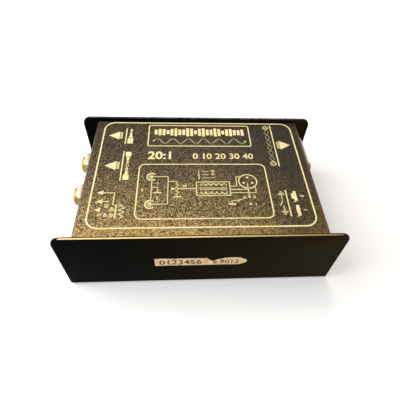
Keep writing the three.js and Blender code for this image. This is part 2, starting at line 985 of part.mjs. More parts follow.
// ---------------------------------------------------------------------------
// Three-pin male socket, whose mouth faces +X
// ---------------------------------------------------------------------------

const socketFace = wallOuter + socketFlangeSheet;
const socketFloor = socketFace - socketMouthDepth;
const pinPlaces = [150, 30, 270].map((degrees) => {
  const turn = THREE.MathUtils.degToRad(degrees);
  return [socketPlaceY + pinCircle * Math.cos(turn), socketHeight + pinCircle * Math.sin(turn)];
});

function socketShellGeometry() {
  const halfY = socketFlangeWidth / 2;
  const halfZ = socketFlangeHeight / 2;
  const corner = socketFlangeCorner;
  const quarter = Math.PI / 2;
  const cornerPoints = [
    [1, -1, -quarter],
    [1, 1, 0],
    [-1, 1, quarter],
    [-1, -1, 2 * quarter],
  ].flatMap(([sideY, sideZ, from]) =>
    arc(
      socketPlaceY + sideY * (halfY - corner),
      socketHeight + sideZ * (halfZ - corner),
      corner,
      from,
      from + quarter,
      bendSteps,
    ),
  );
  const flange = pushedAlongX(cornerPoints, socketFlangeSheet);
  flange.translate(wallOuter + socketFlangeSheet / 2, 0, 0);
  const barrel = rodAlongX(
    socketBarrelRadius,
    barrelBack,
    wallOuter + socketFlangeSheet / 2,
    socketPlaceY,
    socketHeight,
    roundSides,
  );
  const rim = rodAlongX(
    socketRimRadius,
    socketFace - 0.5,
    socketFace + socketRimHeight,
    socketPlaceY,
    socketHeight,
    roundSides,
  );
  const mouth = rodAlongX(
    socketMouthRadius,
    barrelBack - 1,
    socketFace + socketRimHeight + 1,
    socketPlaceY,
    socketHeight,
    roundSides,
  );
  const key = box(
    socketFloor,
    socketFace + socketRimHeight + 1,
    socketPlaceY - socketKeyWidth / 2,
    socketPlaceY + socketKeyWidth / 2,
    socketHeight,
    socketHeight + socketMouthRadius + socketKeyDepth,
  );
  const screwHoles = [-1, 1].map((side) =>
    rodAlongX(
      screwRadius + threadGap,
      wallOuter - 1,
      socketFace + 1,
      socketPlaceY + side * socketScrewX,
      socketHeight - side * socketScrewZ,
    ),
  );
  return cut(join(flange, barrel, rim), mouth, key, ...screwHoles);
}

// Insulator that fills the barrel behind the mouth and carries the pins.
function socketInsertGeometry() {
  const back = barrelBack - insertBackReach;
  const disc = rodAlongX(
    socketMouthRadius - threadGap,
    back,
    socketFloor,
    socketPlaceY,
    socketHeight,
    roundSides,
  );
  const holes = pinPlaces.map(([y, z]) =>
    rodAlongX(pinRadius + threadGap, back - 1, socketFloor + 1, y, z),
  );
  return cut(disc, ...holes);
}

// Pin with a rounded nose and a thinner solder tail.
function pinGeometry([y, z]) {
  const back = barrelBack - insertBackReach;
  const nose = socketFace - pinSetback;
  const length = nose - back;
  const profile = [
    [0, -pinTailLength],
    [pinTailRadius, -pinTailLength],
    [pinTailRadius, 0],
    [pinRadius, 0],
    [pinRadius, length - 1],
    [pinRadius * 0.7, length - 0.25],
    [0, length],
  ];
  return turnedOut(profile, smallSides, 1, back, y, z);
}

function addSocket() {
  addPiece("xlr_shell", socketShellGeometry(), finishes.diecastZinc);
  addPiece("xlr_insert", socketInsertGeometry(), finishes.blackPlastic);
  pinPlaces.forEach((place, index) => {
    addPiece(`xlr_pin_${index + 1}`, pinGeometry(place), finishes.nickel);
  });
  [-1, 1].forEach((side, index) => {
    const profile = panScrewProfile(
      panHeadRadius * 0.95,
      panHeadHeight * 0.8,
      screwRadius,
      socketScrewLength,
    );
    const y = socketPlaceY + side * socketScrewX;
    const z = socketHeight - side * socketScrewZ;
    const screw = turnedOut(profile, smallSides, 1, socketFace, y, z);
    addPiece(`xlr_screw_${index + 1}`, screw, finishes.blackScrew);
  });
}

// ---------------------------------------------------------------------------
// Ground-lift button, pressed along -X
// ---------------------------------------------------------------------------

const collarFace = buttonCapEnd - buttonCapLength - plungerCollarSheet;

function buttonHousingGeometry() {
  const front = buttonHousingFront;
  const half = buttonHousingWidth / 2;
  const body = box(
    front - buttonHousingLength,
    front,
    buttonPlaceY - half,
    buttonPlaceY + half,
    boardTop,
    boardTop + buttonHousingHeight,
  );
  const room = plungerWidth / 2 + slideGap;
  const way = box(
    front - plungerInside - buttonTravel - 1,
    front + 1,
    buttonPlaceY - room,
    buttonPlaceY + room,
    buttonHeight - room,
    buttonHeight + room,
  );
  return cut(body, way);
}

// Plunger: a square bar with a collar that the spring pushes on.
function plungerGeometry() {
  const half = plungerWidth / 2;
  const bar = box(
    buttonHousingFront - plungerInside,
    buttonCapEnd - buttonCapLength / 2,
    buttonPlaceY - half,
    buttonPlaceY + half,
    buttonHeight - half,
    buttonHeight + half,
  );
  const wide = plungerCollar / 2;
  const collar = box(
    collarFace,
    collarFace + plungerCollarSheet,
    buttonPlaceY - wide,
    buttonPlaceY + wide,
    buttonHeight - wide,
    buttonHeight + wide,
  );
  return join(bar, collar);
}

function buttonCapGeometry() {
  const edge = 0.7; // rounding of the cap's face
  const body = turnedOut(
    [
      [0, 0],
      [buttonCapRadius, 0],
      [buttonCapRadius, buttonCapLength - edge],
      [buttonCapRadius - edge * 0.3, buttonCapLength - edge * 0.3],
      [buttonCapRadius - edge, buttonCapLength],
      [0, buttonCapLength],
    ],
    roundSides,
    1,
    buttonCapEnd - buttonCapLength,
    buttonPlaceY,
    buttonHeight,
  );
  const half = plungerWidth / 2 + threadGap;
  const socket = box(
    buttonCapEnd - buttonCapLength - 1,
    buttonCapEnd - buttonCapLength / 2 + threadGap,
    buttonPlaceY - half,
    buttonPlaceY + half,
    buttonHeight - half,
    buttonHeight + half,
  );
  return cut(body, socket);
}

// Return spring between the housing's front and the plunger's collar.
function buttonSpringGeometry() {
  const from = buttonHousingFront + springWire + threadGap;
  const to = collarFace - springWire - threadGap;
  const points = [];
  const count = springTurns * springSteps;
  for (let step = 0; step <= count; step += 1) {
    const turn = (step / springSteps) * 2 * Math.PI;
    points.push([
      from + ((to - from) * step) / count,
      buttonPlaceY + springCoilRadius * Math.cos(turn),
      buttonHeight + springCoilRadius * Math.sin(turn),
    ]);
  }
  return wireAlong(points, springWire, leadSides, count);
}

function addButton() {
  addPiece("ground_switch_housing", buttonHousingGeometry(), finishes.blackPlastic);
  addPiece("ground_switch_plunger", plungerGeometry(), finishes.whiteWire);
  addPiece("ground_switch_cap", buttonCapGeometry(), finishes.blackPlastic);
  addPiece("ground_switch_spring", buttonSpringGeometry(), finishes.nickel);
}

// ---------------------------------------------------------------------------
// Matching transformer, standing on the board
// ---------------------------------------------------------------------------

const coreBottom = boardTop + bobbinFootHeight;
const coreTop = coreBottom + coreHeight;
const windowWidth = (coreWidth - coreLimb) / 2 - coreYoke;
const windowBottom = coreBottom + coreYoke;
const windowTop = coreTop - coreYoke;

function coreGeometry() {
  const half = coreWidth / 2;
  const stack = coreStack / 2;
  const block = box(-half, half, -stack, stack, coreBottom, coreTop);
  const windows = [-1, 1].map((side) => {
    const middle = side * (coreLimb / 2 + windowWidth / 2);
    const reach = windowWidth / 2;
    return box(
      middle - reach,
      middle + reach,
      -stack - 1,
      stack + 1,
      windowBottom,
      windowTop,
    );
  });
  return cut(block, ...windows).translate(transformerX, 0, 0);
}

const bobbinInnerX = coreLimb / 2 + threadGap;
const bobbinInnerY = coreStack / 2 + threadGap;
const bobbinBottom = windowBottom + threadGap;
const bobbinTop = windowTop - threadGap;

// Bobbin: a square sleeve on the middle limb with a flange at each end and four feet.
function bobbinGeometry() {
  const outX = bobbinInnerX + bobbinWall;
  const outY = bobbinInnerY + bobbinWall;
  const flangeX = coreLimb / 2 + windowWidth - threadGap;
  const flangeY = bobbinFlange / 2;
  const sleeve = box(-outX, outX, -outY, outY, bobbinBottom, bobbinTop);
  const low = box(-flangeX, flangeX, -flangeY, flangeY, bobbinBottom, bobbinBottom + bobbinWall);
  const high = box(-flangeX, flangeX, -flangeY, flangeY, bobbinTop - bobbinWall, bobbinTop);
  const feet = [];
  for (const side of [-1, 1]) {
    for (const end of [-1, 1]) {
      const x = side * flangeX * 0.7;
      const y = end * (flangeY - 1.2);
      feet.push(box(x - 1, x + 1, y - 1, y + 1, boardTop, bobbinBottom + bobbinWall));
    }
  }
  const limb = box(
    -bobbinInnerX,
    bobbinInnerX,
    -bobbinInnerY,
    bobbinInnerY,
    bobbinBottom - 1,
    bobbinTop + 1,
  );
  return cut(join(sleeve, low, high, ...feet), limb).translate(transformerX, 0, 0);
}

function windingGeometry() {
  const inX = bobbinInnerX + bobbinWall + threadGap;
  const inY = bobbinInnerY + bobbinWall + threadGap;
  const low = bobbinBottom + bobbinWall + windingHeightGap;
  const high = bobbinTop - bobbinWall - windingHeightGap;
  const outX = inX + windingThickness;
  const outY = inY + windingThickness;
  const block = box(-outX, outX, -outY, outY, low, high);
  const middle = box(-inX, inX, -inY, inY, low - 1, high + 1);
  return cut(block, middle).translate(transformerX, 0, 0);
}

// Clamp: a steel strap over the core whose tabs pass through the board.
function clampGeometry() {
  const inner = coreWidth / 2 + meshGap;
  const outer = inner + clampSheet;
  const half = clampWidth / 2;
  const tab = clampTabWidth / 2;
  const roof = box(-outer, outer, -half, half, coreTop + threadGap, coreTop + threadGap + clampSheet);
  const pieces = [];
  for (const side of [-1, 1]) {
    const x0 = Math.min(side * inner, side * outer);
    const x1 = Math.max(side * inner, side * outer);
    pieces.push(box(x0, x1, -half, half, boardTop + meshGap, coreTop + threadGap + clampSheet));
    pieces.push(box(x0, x1, -tab, tab, boardBottom - leadTail, boardTop + 1));
  }
  return join(roof, ...pieces).translate(transformerX, 0, 0);
}

function addTransformer() {
  addPiece("transformer_core", coreGeometry(), finishes.siliconSteel);
  addPiece("transformer_bobbin", bobbinGeometry(), finishes.blackPlastic);
  addPiece("transformer_winding", windingGeometry(), finishes.copperWinding);
  addPiece("transformer_clamp", clampGeometry(), finishes.zincSteel);
}

// ---------------------------------------------------------------------------
// Wires
// ---------------------------------------------------------------------------

// A wire that lands on the board from a terminal lying along X, which points to side.
function wireGeometry(side, x, y, z, padX, padY) {
  const clear = boardTop + meshGap;
  const points = [
    [x + side * meshGap, y, z],
    [x + side * 2, y, z],
    [(x + padX) / 2 + side, (y + padY) / 2, (z + clear) / 2 + 2],
    [padX, padY, clear + 3],
    [padX, padY, clear],
  ];
  return wireAlong(points, wireRadius, wireSides, wireSteps);
}

function addWires() {
  const colours = [finishes.blackWire, finishes.redWire, finishes.whiteWire];
  const padTip = padBaseOuter + padTerminalReach;
  padTerminalPlaces.forEach((y, index) => {
    const wire = wireGeometry(1, padTip, y, padHeight, padTip + 7, y);
    addPiece(`pad_wire_${index + 1}`, wire, colours[index]);
  });
  const pinTip = barrelBack - insertBackReach - pinTailLength;
  pinPlaces.forEach(([y, z], index) => {
    const wire = wireGeometry(-1, pinTip, y, z, pinTip - 6, y);
    addPiece(`xlr_wire_${index + 1}`, wire, colours[index]);
  });
}

// ---------------------------------------------------------------------------
// The whole product
// ---------------------------------------------------------------------------

addCase();
addBoard();
for (const [name, y] of Object.entries(jackPlaces)) addJack(name, y);
addPadSwitch();
addSocket();
addButton();
addTransformer();
addWires();

export default product;
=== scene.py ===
# %% [markdown]
# # A passive direct injection box, built around its CAD parts
#
# A direct injection box turns the signal of a guitar or a keyboard into a balanced one. Its case is
# two bent steel sheets: a smooth black tray whose ends stand up as plates, and a textured black cover
# between them. Two jacks and a three-step pad switch are on the left wall, a three-pin socket and a
# ground-lift button on the right one, and a circuit diagram is printed in cream on top.
#
# The CAD model arrives as named nodes that already have their real size and place. Nodes that hide
# inside keep their mesh and get a finish here. The pieces that show are modelled again with softer
# edges and finer detail, each one in the space of the node that it stands for.

import json
import math
import random

import bmesh
import bpy
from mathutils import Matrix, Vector


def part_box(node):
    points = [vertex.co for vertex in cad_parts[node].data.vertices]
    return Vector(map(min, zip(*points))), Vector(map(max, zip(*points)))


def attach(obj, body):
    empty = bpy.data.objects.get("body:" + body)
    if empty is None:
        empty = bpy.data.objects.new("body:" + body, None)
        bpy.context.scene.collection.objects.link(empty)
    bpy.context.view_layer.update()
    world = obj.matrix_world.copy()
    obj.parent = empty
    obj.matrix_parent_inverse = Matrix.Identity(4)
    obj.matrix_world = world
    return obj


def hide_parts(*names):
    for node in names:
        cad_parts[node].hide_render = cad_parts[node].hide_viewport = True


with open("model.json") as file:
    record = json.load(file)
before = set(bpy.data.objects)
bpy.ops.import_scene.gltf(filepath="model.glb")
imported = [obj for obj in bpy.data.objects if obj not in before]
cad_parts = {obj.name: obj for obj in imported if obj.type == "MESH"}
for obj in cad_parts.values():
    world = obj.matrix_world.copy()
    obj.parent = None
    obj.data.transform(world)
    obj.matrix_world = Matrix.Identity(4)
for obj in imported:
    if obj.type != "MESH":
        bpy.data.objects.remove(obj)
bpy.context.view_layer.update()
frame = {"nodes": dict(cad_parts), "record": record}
scene = bpy.context.scene
MM = 0.001

# %% [markdown]
# ## Measuring in millimetres
#
# Blender works in metres and a box like this one is drawn in millimetres. One helper reads a node's
# box in millimetres, so that every new piece takes its place from the part it stands for.

# %% Boxes of the CAD nodes
def span(node):
    """Lowest and highest corner of a CAD node, in millimetres."""
    low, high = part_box(node)
    return low / MM, high / MM


def middle(node):
    low, high = span(node)
    return (low + high) / 2


tray_low, tray_high = span("chassis_tray")
cover_low, cover_high = span("cover_shell")
print("tray", tray_low, tray_high)
print("cover", cover_low, cover_high)

# %% [markdown]
# ## The camera
#
# The box is seen from above and in front, a little to its left, from about 20 cm away, so the view has
# strong perspective. The lens is wide for its sensor, and a small shift moves the picture sideways
# without turning the camera, as a view camera does.

# %% Camera
CAMERA_PLACE = Vector((-8.63, -122.08, 164.73)) * MM
CAMERA_TURN = (39.319, -3.155, -3.148)
LENS = 31.405
SENSOR = 36
SHIFT_X = -0.02874
NEAREST = 0.001

camera = bpy.data.objects.new("camera", bpy.data.cameras.new("camera"))
scene.collection.objects.link(camera)
camera.location = CAMERA_PLACE
camera.rotation_euler = [math.radians(angle) for angle in CAMERA_TURN]
camera.data.lens = LENS
camera.data.sensor_width = SENSOR
camera.data.shift_x = SHIFT_X
camera.data.clip_start = NEAREST
scene.camera = camera
scene.view_settings.view_transform = "Standard"
print("camera", camera.location)

# %% [markdown]
# ## Nodes for a finish
#
# A procedural finish is a small graph of nodes. It is easier to read when one line adds a node, sets
# it and links it, so one helper does that for every kind of node. A value that is a socket is linked,
# and any other value is set. Colours are written as they look on a screen, and turned to the linear
# values that a shader works with.

# %% Helpers for materials
def linear(hex_colour):
    """An sRGB colour such as '#4f3f2a' as linear red, green, blue and alpha."""
    channels = [int(hex_colour[i : i + 2], 16) / 255 for i in (1, 3, 5)]
    curve = [c / 12.92 if c <= 0.04045 else ((c + 0.055) / 1.055) ** 2.4 for c in channels]
    return (*curve, 1.0)


def per_mm(size):
    """The scale of a noise whose features are about this many millimetres across."""
    return 1 / (size * MM)


def add_node(material, kind, inputs=None, **settings):
    """Adds a node. Inputs are values, or output sockets to link; settings are its properties."""
    made = material.node_tree.nodes.new(kind)
    for name, value in settings.items():
        setattr(made, name, value)
    for name, value in (inputs or {}).items():
        if isinstance(value, bpy.types.NodeSocket):
            material.node_tree.links.new(value, made.inputs[name])
        else:
            made.inputs[name].default_value = value
    return made


def blank_material(name):
    material = bpy.data.materials.new(name)
    material.use_nodes = True
    material.node_tree.nodes.clear()
    return material


def grain(material, size, detail=2.0, roughness=0.5, stretch=(1, 1, 1)):
    """A noise on the object's own coordinates, with features of a real size in millimetres."""
    place = add_node(material, "ShaderNodeTexCoord").outputs["Object"]
    turned = add_node(material, "ShaderNodeMapping", {"Vector": place, "Scale": stretch})
    noise = add_node(
        material,
        "ShaderNodeTexNoise",
        {
            "Vector": turned.outputs["Vector"],
            "Scale": per_mm(size),
            "Detail": detail,
            "Roughness": roughness,
        },
    )
    return noise.outputs["Fac"]


def ramp(material, value, *stops):
    """A colour ramp from (position, sRGB colour) stops."""
    made = add_node(material, "ShaderNodeValToRGB", {"Fac": value})
    elements = made.color_ramp.elements
    while len(elements) < len(stops):
        elements.new(0.5)
    for element, (position, colour) in zip(elements, stops):
        element.position = position
        element.color = linear(colour)
    return made.outputs["Color"]


def between(material, value, low, high, start=0.3, end=0.7):
    """Maps a noise's start to end onto low to high, for a roughness or a height."""
    made = add_node(
        material,
        "ShaderNodeMapRange",
        {"Value": value, "From Min": start, "From Max": end, "To Min": low, "To Max": high},
    )
    return made.outputs["Result"]


def blended(material, share, first, second):
    """A mix of two colours by a share."""
    made = add_node(
        material,
        "ShaderNodeMix",
        {"Factor": share},
        data_type="RGBA",
    )
    for socket, value in ((made.inputs[6], first), (made.inputs[7], second)):
        if isinstance(value, bpy.types.NodeSocket):
            material.node_tree.links.new(value, socket)
        else:
            socket.default_value = value
    return made.outputs[2]


def product(material, first, second):
    """One mask times another."""
    made = add_node(material, "ShaderNodeMath", operation="MULTIPLY")
    material.node_tree.links.new(first, made.inputs[0])
    material.node_tree.links.new(second, made.inputs[1])
    return made.outputs["Value"]


def scaled(material, value, factor):
    """A value times a number."""
    made = add_node(material, "ShaderNodeMath", operation="MULTIPLY")
    material.node_tree.links.new(value, made.inputs[0])
    made.inputs[1].default_value = factor
    return made.outputs["Value"]


def bump(material, height, depth, strength):
    """A bump that is depth millimetres high where the height goes from 0 to 1."""
    inputs = {"Height": height, "Distance": depth * MM, "Strength": strength}
    return add_node(material, "ShaderNodeBump", inputs).outputs["Normal"]


def surface(material, **inputs):
    """Ends a material in one Principled shader. Underscores in the names stand for spaces."""
    named = {name.replace("_", " "): value for name, value in inputs.items()}
    shader = add_node(material, "ShaderNodeBsdfPrincipled", named)
    add_node(material, "ShaderNodeOutputMaterial", {"Surface": shader.outputs["BSDF"]})
    print("finish", material.name)
    return material

# %% [markdown]
# ## Textured powder coat on the cover
#
# The cover is sprayed with a black powder that shrinks as it is baked, which leaves grains and dark
# pits about half a millimetre apart. The brown and gold on the grains is a painted highlight of warm
# light on black paint, and the pits stay nearly black. Two noises do this: a fine one for the grain,
# which also drives the bump, and a broad one for the uneven, rubbed look of an old case. A few pale
# specks are dust that sits in the texture.

# %% Textured powder coat
def along_axis(material, axis, start, end):
    """0 at start and 1 at end, in millimetres along one of the object's own axes."""
    place = add_node(material, "ShaderNodeTexCoord").outputs["Object"]
    split = add_node(material, "ShaderNodeSeparateXYZ", {"Vector": place})
    return between(material, split.outputs[axis], 0.0, 1.0, start * MM, end * MM)


def textured_powder_coat():
    material = blank_material("textured_black_powder_coat")
    # The real grains are nearer 0.3 mm across; at that size they would blur to one brown.
    fine = grain(material, 0.62, detail=2.5, roughness=0.6)
    pits = grain(material, 1.1, detail=1)
    broad = grain(material, 24, detail=3)
    # Painted highlight: the paint is black, and the browns and golds of the grain stand for warm light
    # on it.
    coat = ramp(
        material,
        fine,
        (0.37, "#090603"),
        (0.45, "#2b2214"),
        (0.54, "#5c4c30"),
        (0.66, "#a89060"),
    )
    # Painted sheen: a paler, golden copy of the grain, where warm light reflects near the front.
    golden_sheen_grain = ramp(
        material,
        fine,
        (0.37, "#1d1409"),
        (0.45, "#6b5429"),
        (0.54, "#ad8e52"),
        (0.64, "#ffe3a6"),
    )
    # Painted sheen makes the gold strongest at the front edge. Painted shade darkens the rear and the
    # right side, and the walls go dark.
    front_sheen = blended(material, along_axis(material, "Y", 2, -42), coat, golden_sheen_grain)
    dull = blended(material, between(material, broad, 0.0, 0.4), front_sheen, linear("#261e11"))
    # Painted highlight: a band of warm gold along the front edge.
    edge_sheen_mask = scaled(material, along_axis(material, "Y", -30, -38), 0.34)
    with_edge_sheen = blended(material, edge_sheen_mask, dull, linear("#e0b96e"))
    # Painted shade: the rear and the right side are darkened towards brown-black.
    rear = scaled(material, along_axis(material, "Y", -6, 24), 0.5)
    shaded = blended(material, rear, with_edge_sheen, linear("#171207"))
    right_side_shade = scaled(material, along_axis(material, "X", -4, 44), 0.74)
    shaded = blended(material, right_side_shade, shaded, linear("#171207"))
    under_top = scaled(material, along_axis(material, "Z", 37.9, 36.5), 0.86)
    walls = blended(material, under_top, shaded, linear("#0d0a06"))
    # Painted highlight: the right-hand bend is tinted orange-brown, where the light catches it.
    right = along_axis(material, "X", 54.6, 56.2)
    bend_highlight_mask = product(material, right, along_axis(material, "Z", 35, 37))
    with_bend_highlight = blended(material, scaled(material, bend_highlight_mask, 0.7), walls, linear("#7c5230"))
    deep = between(material, pits, 0.8, 0.0, 0.32, 0.4)
    pitted = blended(material, deep, with_bend_highlight, linear("#080502"))
    speck = grain(material, 1.4, detail=0)
    dust = between(material, speck, 0.0, 0.35, 0.83, 0.86)
    dusty = blended(material, dust, pitted, linear("#c9bb98"))
    return surface(
        material,
        Base_Color=dusty,
        Roughness=between(material, fine, 0.6, 0.4),
        Specular_IOR_Level=0.2,
        Normal=bump(material, fine, 0.12, 0.8),
    )


# Dark brown-black grain with painted gold highlights: the rough, warm-lit skin of the cover.
cover_paint = textured_powder_coat()

# %% [markdown]
# ## Satin powder coat on the tray
#
# The tray and its end plates are the same black, but sprayed smooth. It is nearly black from every
# side, with a faint orange-peel ripple, a painted warm reflection that browns it a little towards the
# right, thin grey scuffs, and a painted highlight along the tops of the plates.

# %% Satin powder coat
def satin_powder_coat():
    material = blank_material("satin_black_powder_coat")
    peel = grain(material, 1.4, detail=1)
    broad = grain(material, 45, detail=2)
    black = ramp(material, broad, (0.3, "#07080a"), (0.7, "#0d0c0a"))
    # Painted reflection: a warm brown reflection that grows towards the right.
    warm_reflection = blended(material, along_axis(material, "X", -40, 60), black, linear("#2b2312"))
    scratch = grain(material, 5.0, detail=4, roughness=0.75, stretch=(1, 1, 2.4))
    scuffs = between(material, scratch, 0.0, 0.4, 0.74, 0.8)
    reflection_and_scuffs = blended(material, scuffs, warm_reflection, linear("#45413a"))
    # Along the tops of the plates a highlight is painted: an even gold line in front that fades to the
    # right, and grey-blue spots at the rear.
    crest_spot_noise = grain(material, 2.6, detail=3, roughness=0.7)
    crest = along_axis(material, "Z", 39.9, 39.99)
    rear = along_axis(material, "Y", -20, 20)
    spots = between(material, crest_spot_noise, 0.1, 0.8, 0.42, 0.6)
    lip = along_axis(material, "Y", -39.95, -40.3)
    even = product(material, along_axis(material, "X", 90, -20), lip)
    crest_highlight_mask = product(material, crest, blended(material, rear, even, spots))
    # Painted highlight colours: gold for the front line, grey-blue for the rear spots.
    crest_highlight_colour = blended(material, rear, linear("#ffe6a4"), linear("#686e75"))
    scuffs_and_crest_highlight = blended(material, crest_highlight_mask, reflection_and_scuffs, crest_highlight_colour)
    return surface(
        material,
        Base_Color=scuffs_and_crest_highlight,
        Roughness=between(material, peel, 0.38, 0.5),
        Specular_IOR_Level=0.006,
        Normal=bump(material, peel, 0.02, 0.5),
    )


# Smooth near-black with a soft gloss, so that the plates frame the busy cover.
tray_paint = satin_powder_coat()

# %% [markdown]
# ## Metals
#
# Plated brass, plated steel and die-cast zinc differ in colour and in how they were worked. Turned
# parts get fine rings from the tool, which a noise drawn out round the axis gives. Plated sheet and
# castings get an even, slightly cloudy roughness. All are fully metallic and keep the default IOR.

# %% Plated and cast metals
def plated(name, bright, dull, smooth, rough, cloud=2.5, depth=0.004):
    """A plated metal whose colour and roughness drift over patches of cloud millimetres."""
    material = blank_material(name)
    patches = grain(material, cloud, detail=3)
    # Tool marks are far finer than this; they are drawn as wide as can still be seen.
    marks = grain(material, 0.35, detail=2, stretch=(6, 1, 1))
    return surface(
        material,
        Base_Color=ramp(material, patches, (0.35, dull), (0.65, bright)),
        Metallic=1.0,
        Roughness=between(material, patches, rough, smooth),
        Normal=bump(material, marks, depth, 0.6),
    )


# Warm yellow metal for the jacks' bushings.
gold = plated("gold_plated_brass", "#e3bb6a", "#bd8d45", 0.24, 0.38)
# Warm grey metal, softly bright, for the nuts, washers and pins.
nickel = plated("nickel_plated_brass", "#a79f8c", "#8a806b", 0.24, 0.38)
# Pale, slightly cloudy steel for the switch's frame and the clamps.
zinc_plate = plated("zinc_plated_steel", "#c6c5bd", "#97958c", 0.3, 0.48)
# Dark metal that still glints on its edges, for the screws.
black_zinc = plated("black_zinc_plated_steel", "#3a3835", "#1d1c1b", 0.32, 0.5, cloud=1.2)
# Satin light grey with a faint cloud, for the socket's casting.
cast_zinc = plated("satin_die_cast_zinc", "#a5a49f", "#94938e", 0.36, 0.5, cloud=2.5, depth=0.01)
# Dull brown-grey iron for the transformer's core.
core_iron = plated("silicon_steel_laminations", "#6f6963", "#3f3a36", 0.45, 0.65, cloud=1.5)

# %% [markdown]
# ## Plastics, board, tape and wire
#
# Moulded plastic is a dielectric with a soft gloss and a very fine texture from the mould. The board,
# the resistors and the wires sit inside and show only through the openings, but each still has its
# own small variation, so that no surface is one flat colour.

# %% Moulded and coated materials
def moulded(name, colour, tint, smooth, rough, size=0.5, depth=0.01):
    """A plastic or lacquer with patches of a second tint and a fine moulded grain."""
    material = blank_material(name)
    fine = grain(material, size, detail=2)
    patches = grain(material, size * 8, detail=2)
    return surface(
        material,
        Base_Color=ramp(material, patches, (0.3, colour), (0.7, tint)),
        Roughness=between(material, fine, rough, smooth),
        Normal=bump(material, fine, depth, 0.5),
    )


# Black plastic with a soft gloss, for knobs and collars.
black_abs = moulded("moulded_black_abs", "#121212", "#1e1d1c", 0.32, 0.5)
# Matt brown board behind the pad switch.
phenolic = moulded("brown_phenolic_paper", "#7a4a22", "#63391a", 0.45, 0.6)
# Glossy green lacquer of the circuit board.
solder_mask = moulded("green_solder_mask", "#23562c", "#2f6a36", 0.25, 0.4)
# Shiny amber tape round the winding.
amber_tape = moulded("amber_winding_tape", "#b0702c", "#925420", 0.25, 0.4, size=1.0)
# Sandy lacquer of the resistors.
tan_lacquer = moulded("tan_resistor_lacquer", "#c9a36b", "#b58e58", 0.3, 0.5)
# Soft red wire insulation.
red_pvc = moulded("red_pvc_insulation", "#9d2419", "#861d14", 0.35, 0.5)
# Soft black wire insulation.
black_pvc = moulded("black_pvc_insulation", "#161616", "#202020", 0.35, 0.5)
# Milky white plastic of the bobbin.
white_nylon = moulded("white_moulded_nylon", "#d8d4c8", "#c6c1b2", 0.35, 0.5)
# Flat cream ink, the only pale thing on the case.
cream_ink = moulded("cream_screen_print_ink", "#f4e9b4", "#e2cf8c", 0.5, 0.65, size=0.4)
# Faded brown-black ink on the label.
dark_ink = moulded("dark_stamped_ink", "#2a170c", "#4a2c18", 0.5, 0.7, size=0.3)

# %% [markdown]
# ## Finishes for the CAD nodes
#
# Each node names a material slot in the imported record. One table pairs the slots with the finishes,
# and every node that stays gets its finish through its own material slot.

# %% Give every CAD node its finish
finish_of = {
    "chassis_paint": tray_paint,
    "cover_paint": cover_paint,
    "black_screw": black_zinc,
    "zinc_steel": zinc_plate,
    "nickel": nickel,
    "gold_brass": gold,
    "black_plastic": black_abs,
    "circuit_board": solder_mask,
    "phenolic": phenolic,
    "core_steel": core_iron,
    "winding_tape": amber_tape,
    "diecast_zinc": cast_zinc,
    "resistor_tan": tan_lacquer,
    "red_wire": red_pvc,
    "black_wire": black_pvc,
    "white_plastic": white_nylon,
}
slot_of = {part["node"]: part["material_slot"] for part in frame["record"]["subparts"]}
for name, node in frame["nodes"].items():
    node.data.materials.clear()
    node.data.materials.append(finish_of[slot_of[name]])
print("finished", len(slot_of), "nodes")

# %% [markdown]
# ## Modelling by hand, in code
#
# The operators act on what is selected, so every piece starts from nothing selected. A primitive is
# added, then shaped in edit mode, where faces and edges are picked by their place. A finished piece
# has its place in its mesh, rides on its CAD body and hides the node that it stands for.

# %% Helpers for modelling
def deselect():
    if bpy.context.mode != "OBJECT":
        bpy.ops.object.mode_set(mode="OBJECT")
    bpy.ops.object.select_all(action="DESELECT")


def edit(piece):
    """Opens a piece in edit mode with all of it selected."""
    deselect()
    bpy.context.view_layer.objects.active = piece
    piece.select_set(True)
    bpy.ops.object.mode_set(mode="EDIT")
    bpy.ops.mesh.select_all(action="SELECT")


def pick(kind, test):
    """Selects the vertices, edges or faces of the edited mesh whose centre, in mm, passes the test."""
    bpy.ops.mesh.select_all(action="DESELECT")
    bpy.ops.mesh.select_mode(type=kind)
    mesh = bmesh.from_edit_mesh(bpy.context.object.data)
    if kind == "VERT":
        chosen = [v for v in mesh.verts if test(v.co / MM)]
    elif kind == "EDGE":
        chosen = [e for e in mesh.edges if test((e.verts[0].co + e.verts[1].co) / 2 / MM)]
    else:
        chosen = [f for f in mesh.faces if test(f.calc_center_median() / MM)]
    for item in chosen:
        item.select_set(True)
    mesh.select_flush_mode()
    bmesh.update_edit_mesh(bpy.context.object.data)
    return len(chosen)


def apply_place(piece):
    deselect()
    bpy.context.view_layer.objects.active = piece
    piece.select_set(True)
    bpy.ops.object.transform_apply(location=True, rotation=True, scale=True)
    return piece


def named(name):
    piece = bpy.context.object
    piece.name = name
    piece.data.name = name
    return piece


def modify(piece, kind, **settings):
    """Adds a modifier, sets it and applies it."""
    deselect()
    bpy.context.view_layer.objects.active = piece
    piece.select_set(True)
    modifier = piece.modifiers.new(kind.lower(), kind)
    for name, value in settings.items():
        setattr(modifier, name, value)
    bpy.ops.object.modifier_apply(modifier=modifier.name)
    return piece


def carve(piece, cutter, operation="DIFFERENCE"):
    """Cuts, joins or intersects with another mesh, which is used up."""
    modify(piece, "BOOLEAN", object=cutter, operation=operation, solver="EXACT")
    bpy.data.objects.remove(cutter)
    return piece


def slab(name, low, high):
    """A cube primitive between two corners in millimetres, as a blank to shape or cut with."""
    low, high = Vector(low), Vector(high)
    deselect()
    bpy.ops.mesh.primitive_cube_add(size=1, location=(low + high) / 2 * MM)
    piece = named(name)
    piece.scale = (high - low) * MM
    return apply_place(piece)


def rod(name, radius, start, end, sides=48):
    """A cylinder primitive from one point to another in millimetres."""
    start, end = Vector(start), Vector(end)
    way = end - start
    deselect()
    bpy.ops.mesh.primitive_cylinder_add(
        vertices=sides,
        radius=radius * MM,
        depth=way.length * MM,
        location=(start + end) / 2 * MM,
        rotation=way.to_track_quat("Z", "Y").to_euler(),
    )
    return apply_place(named(name))


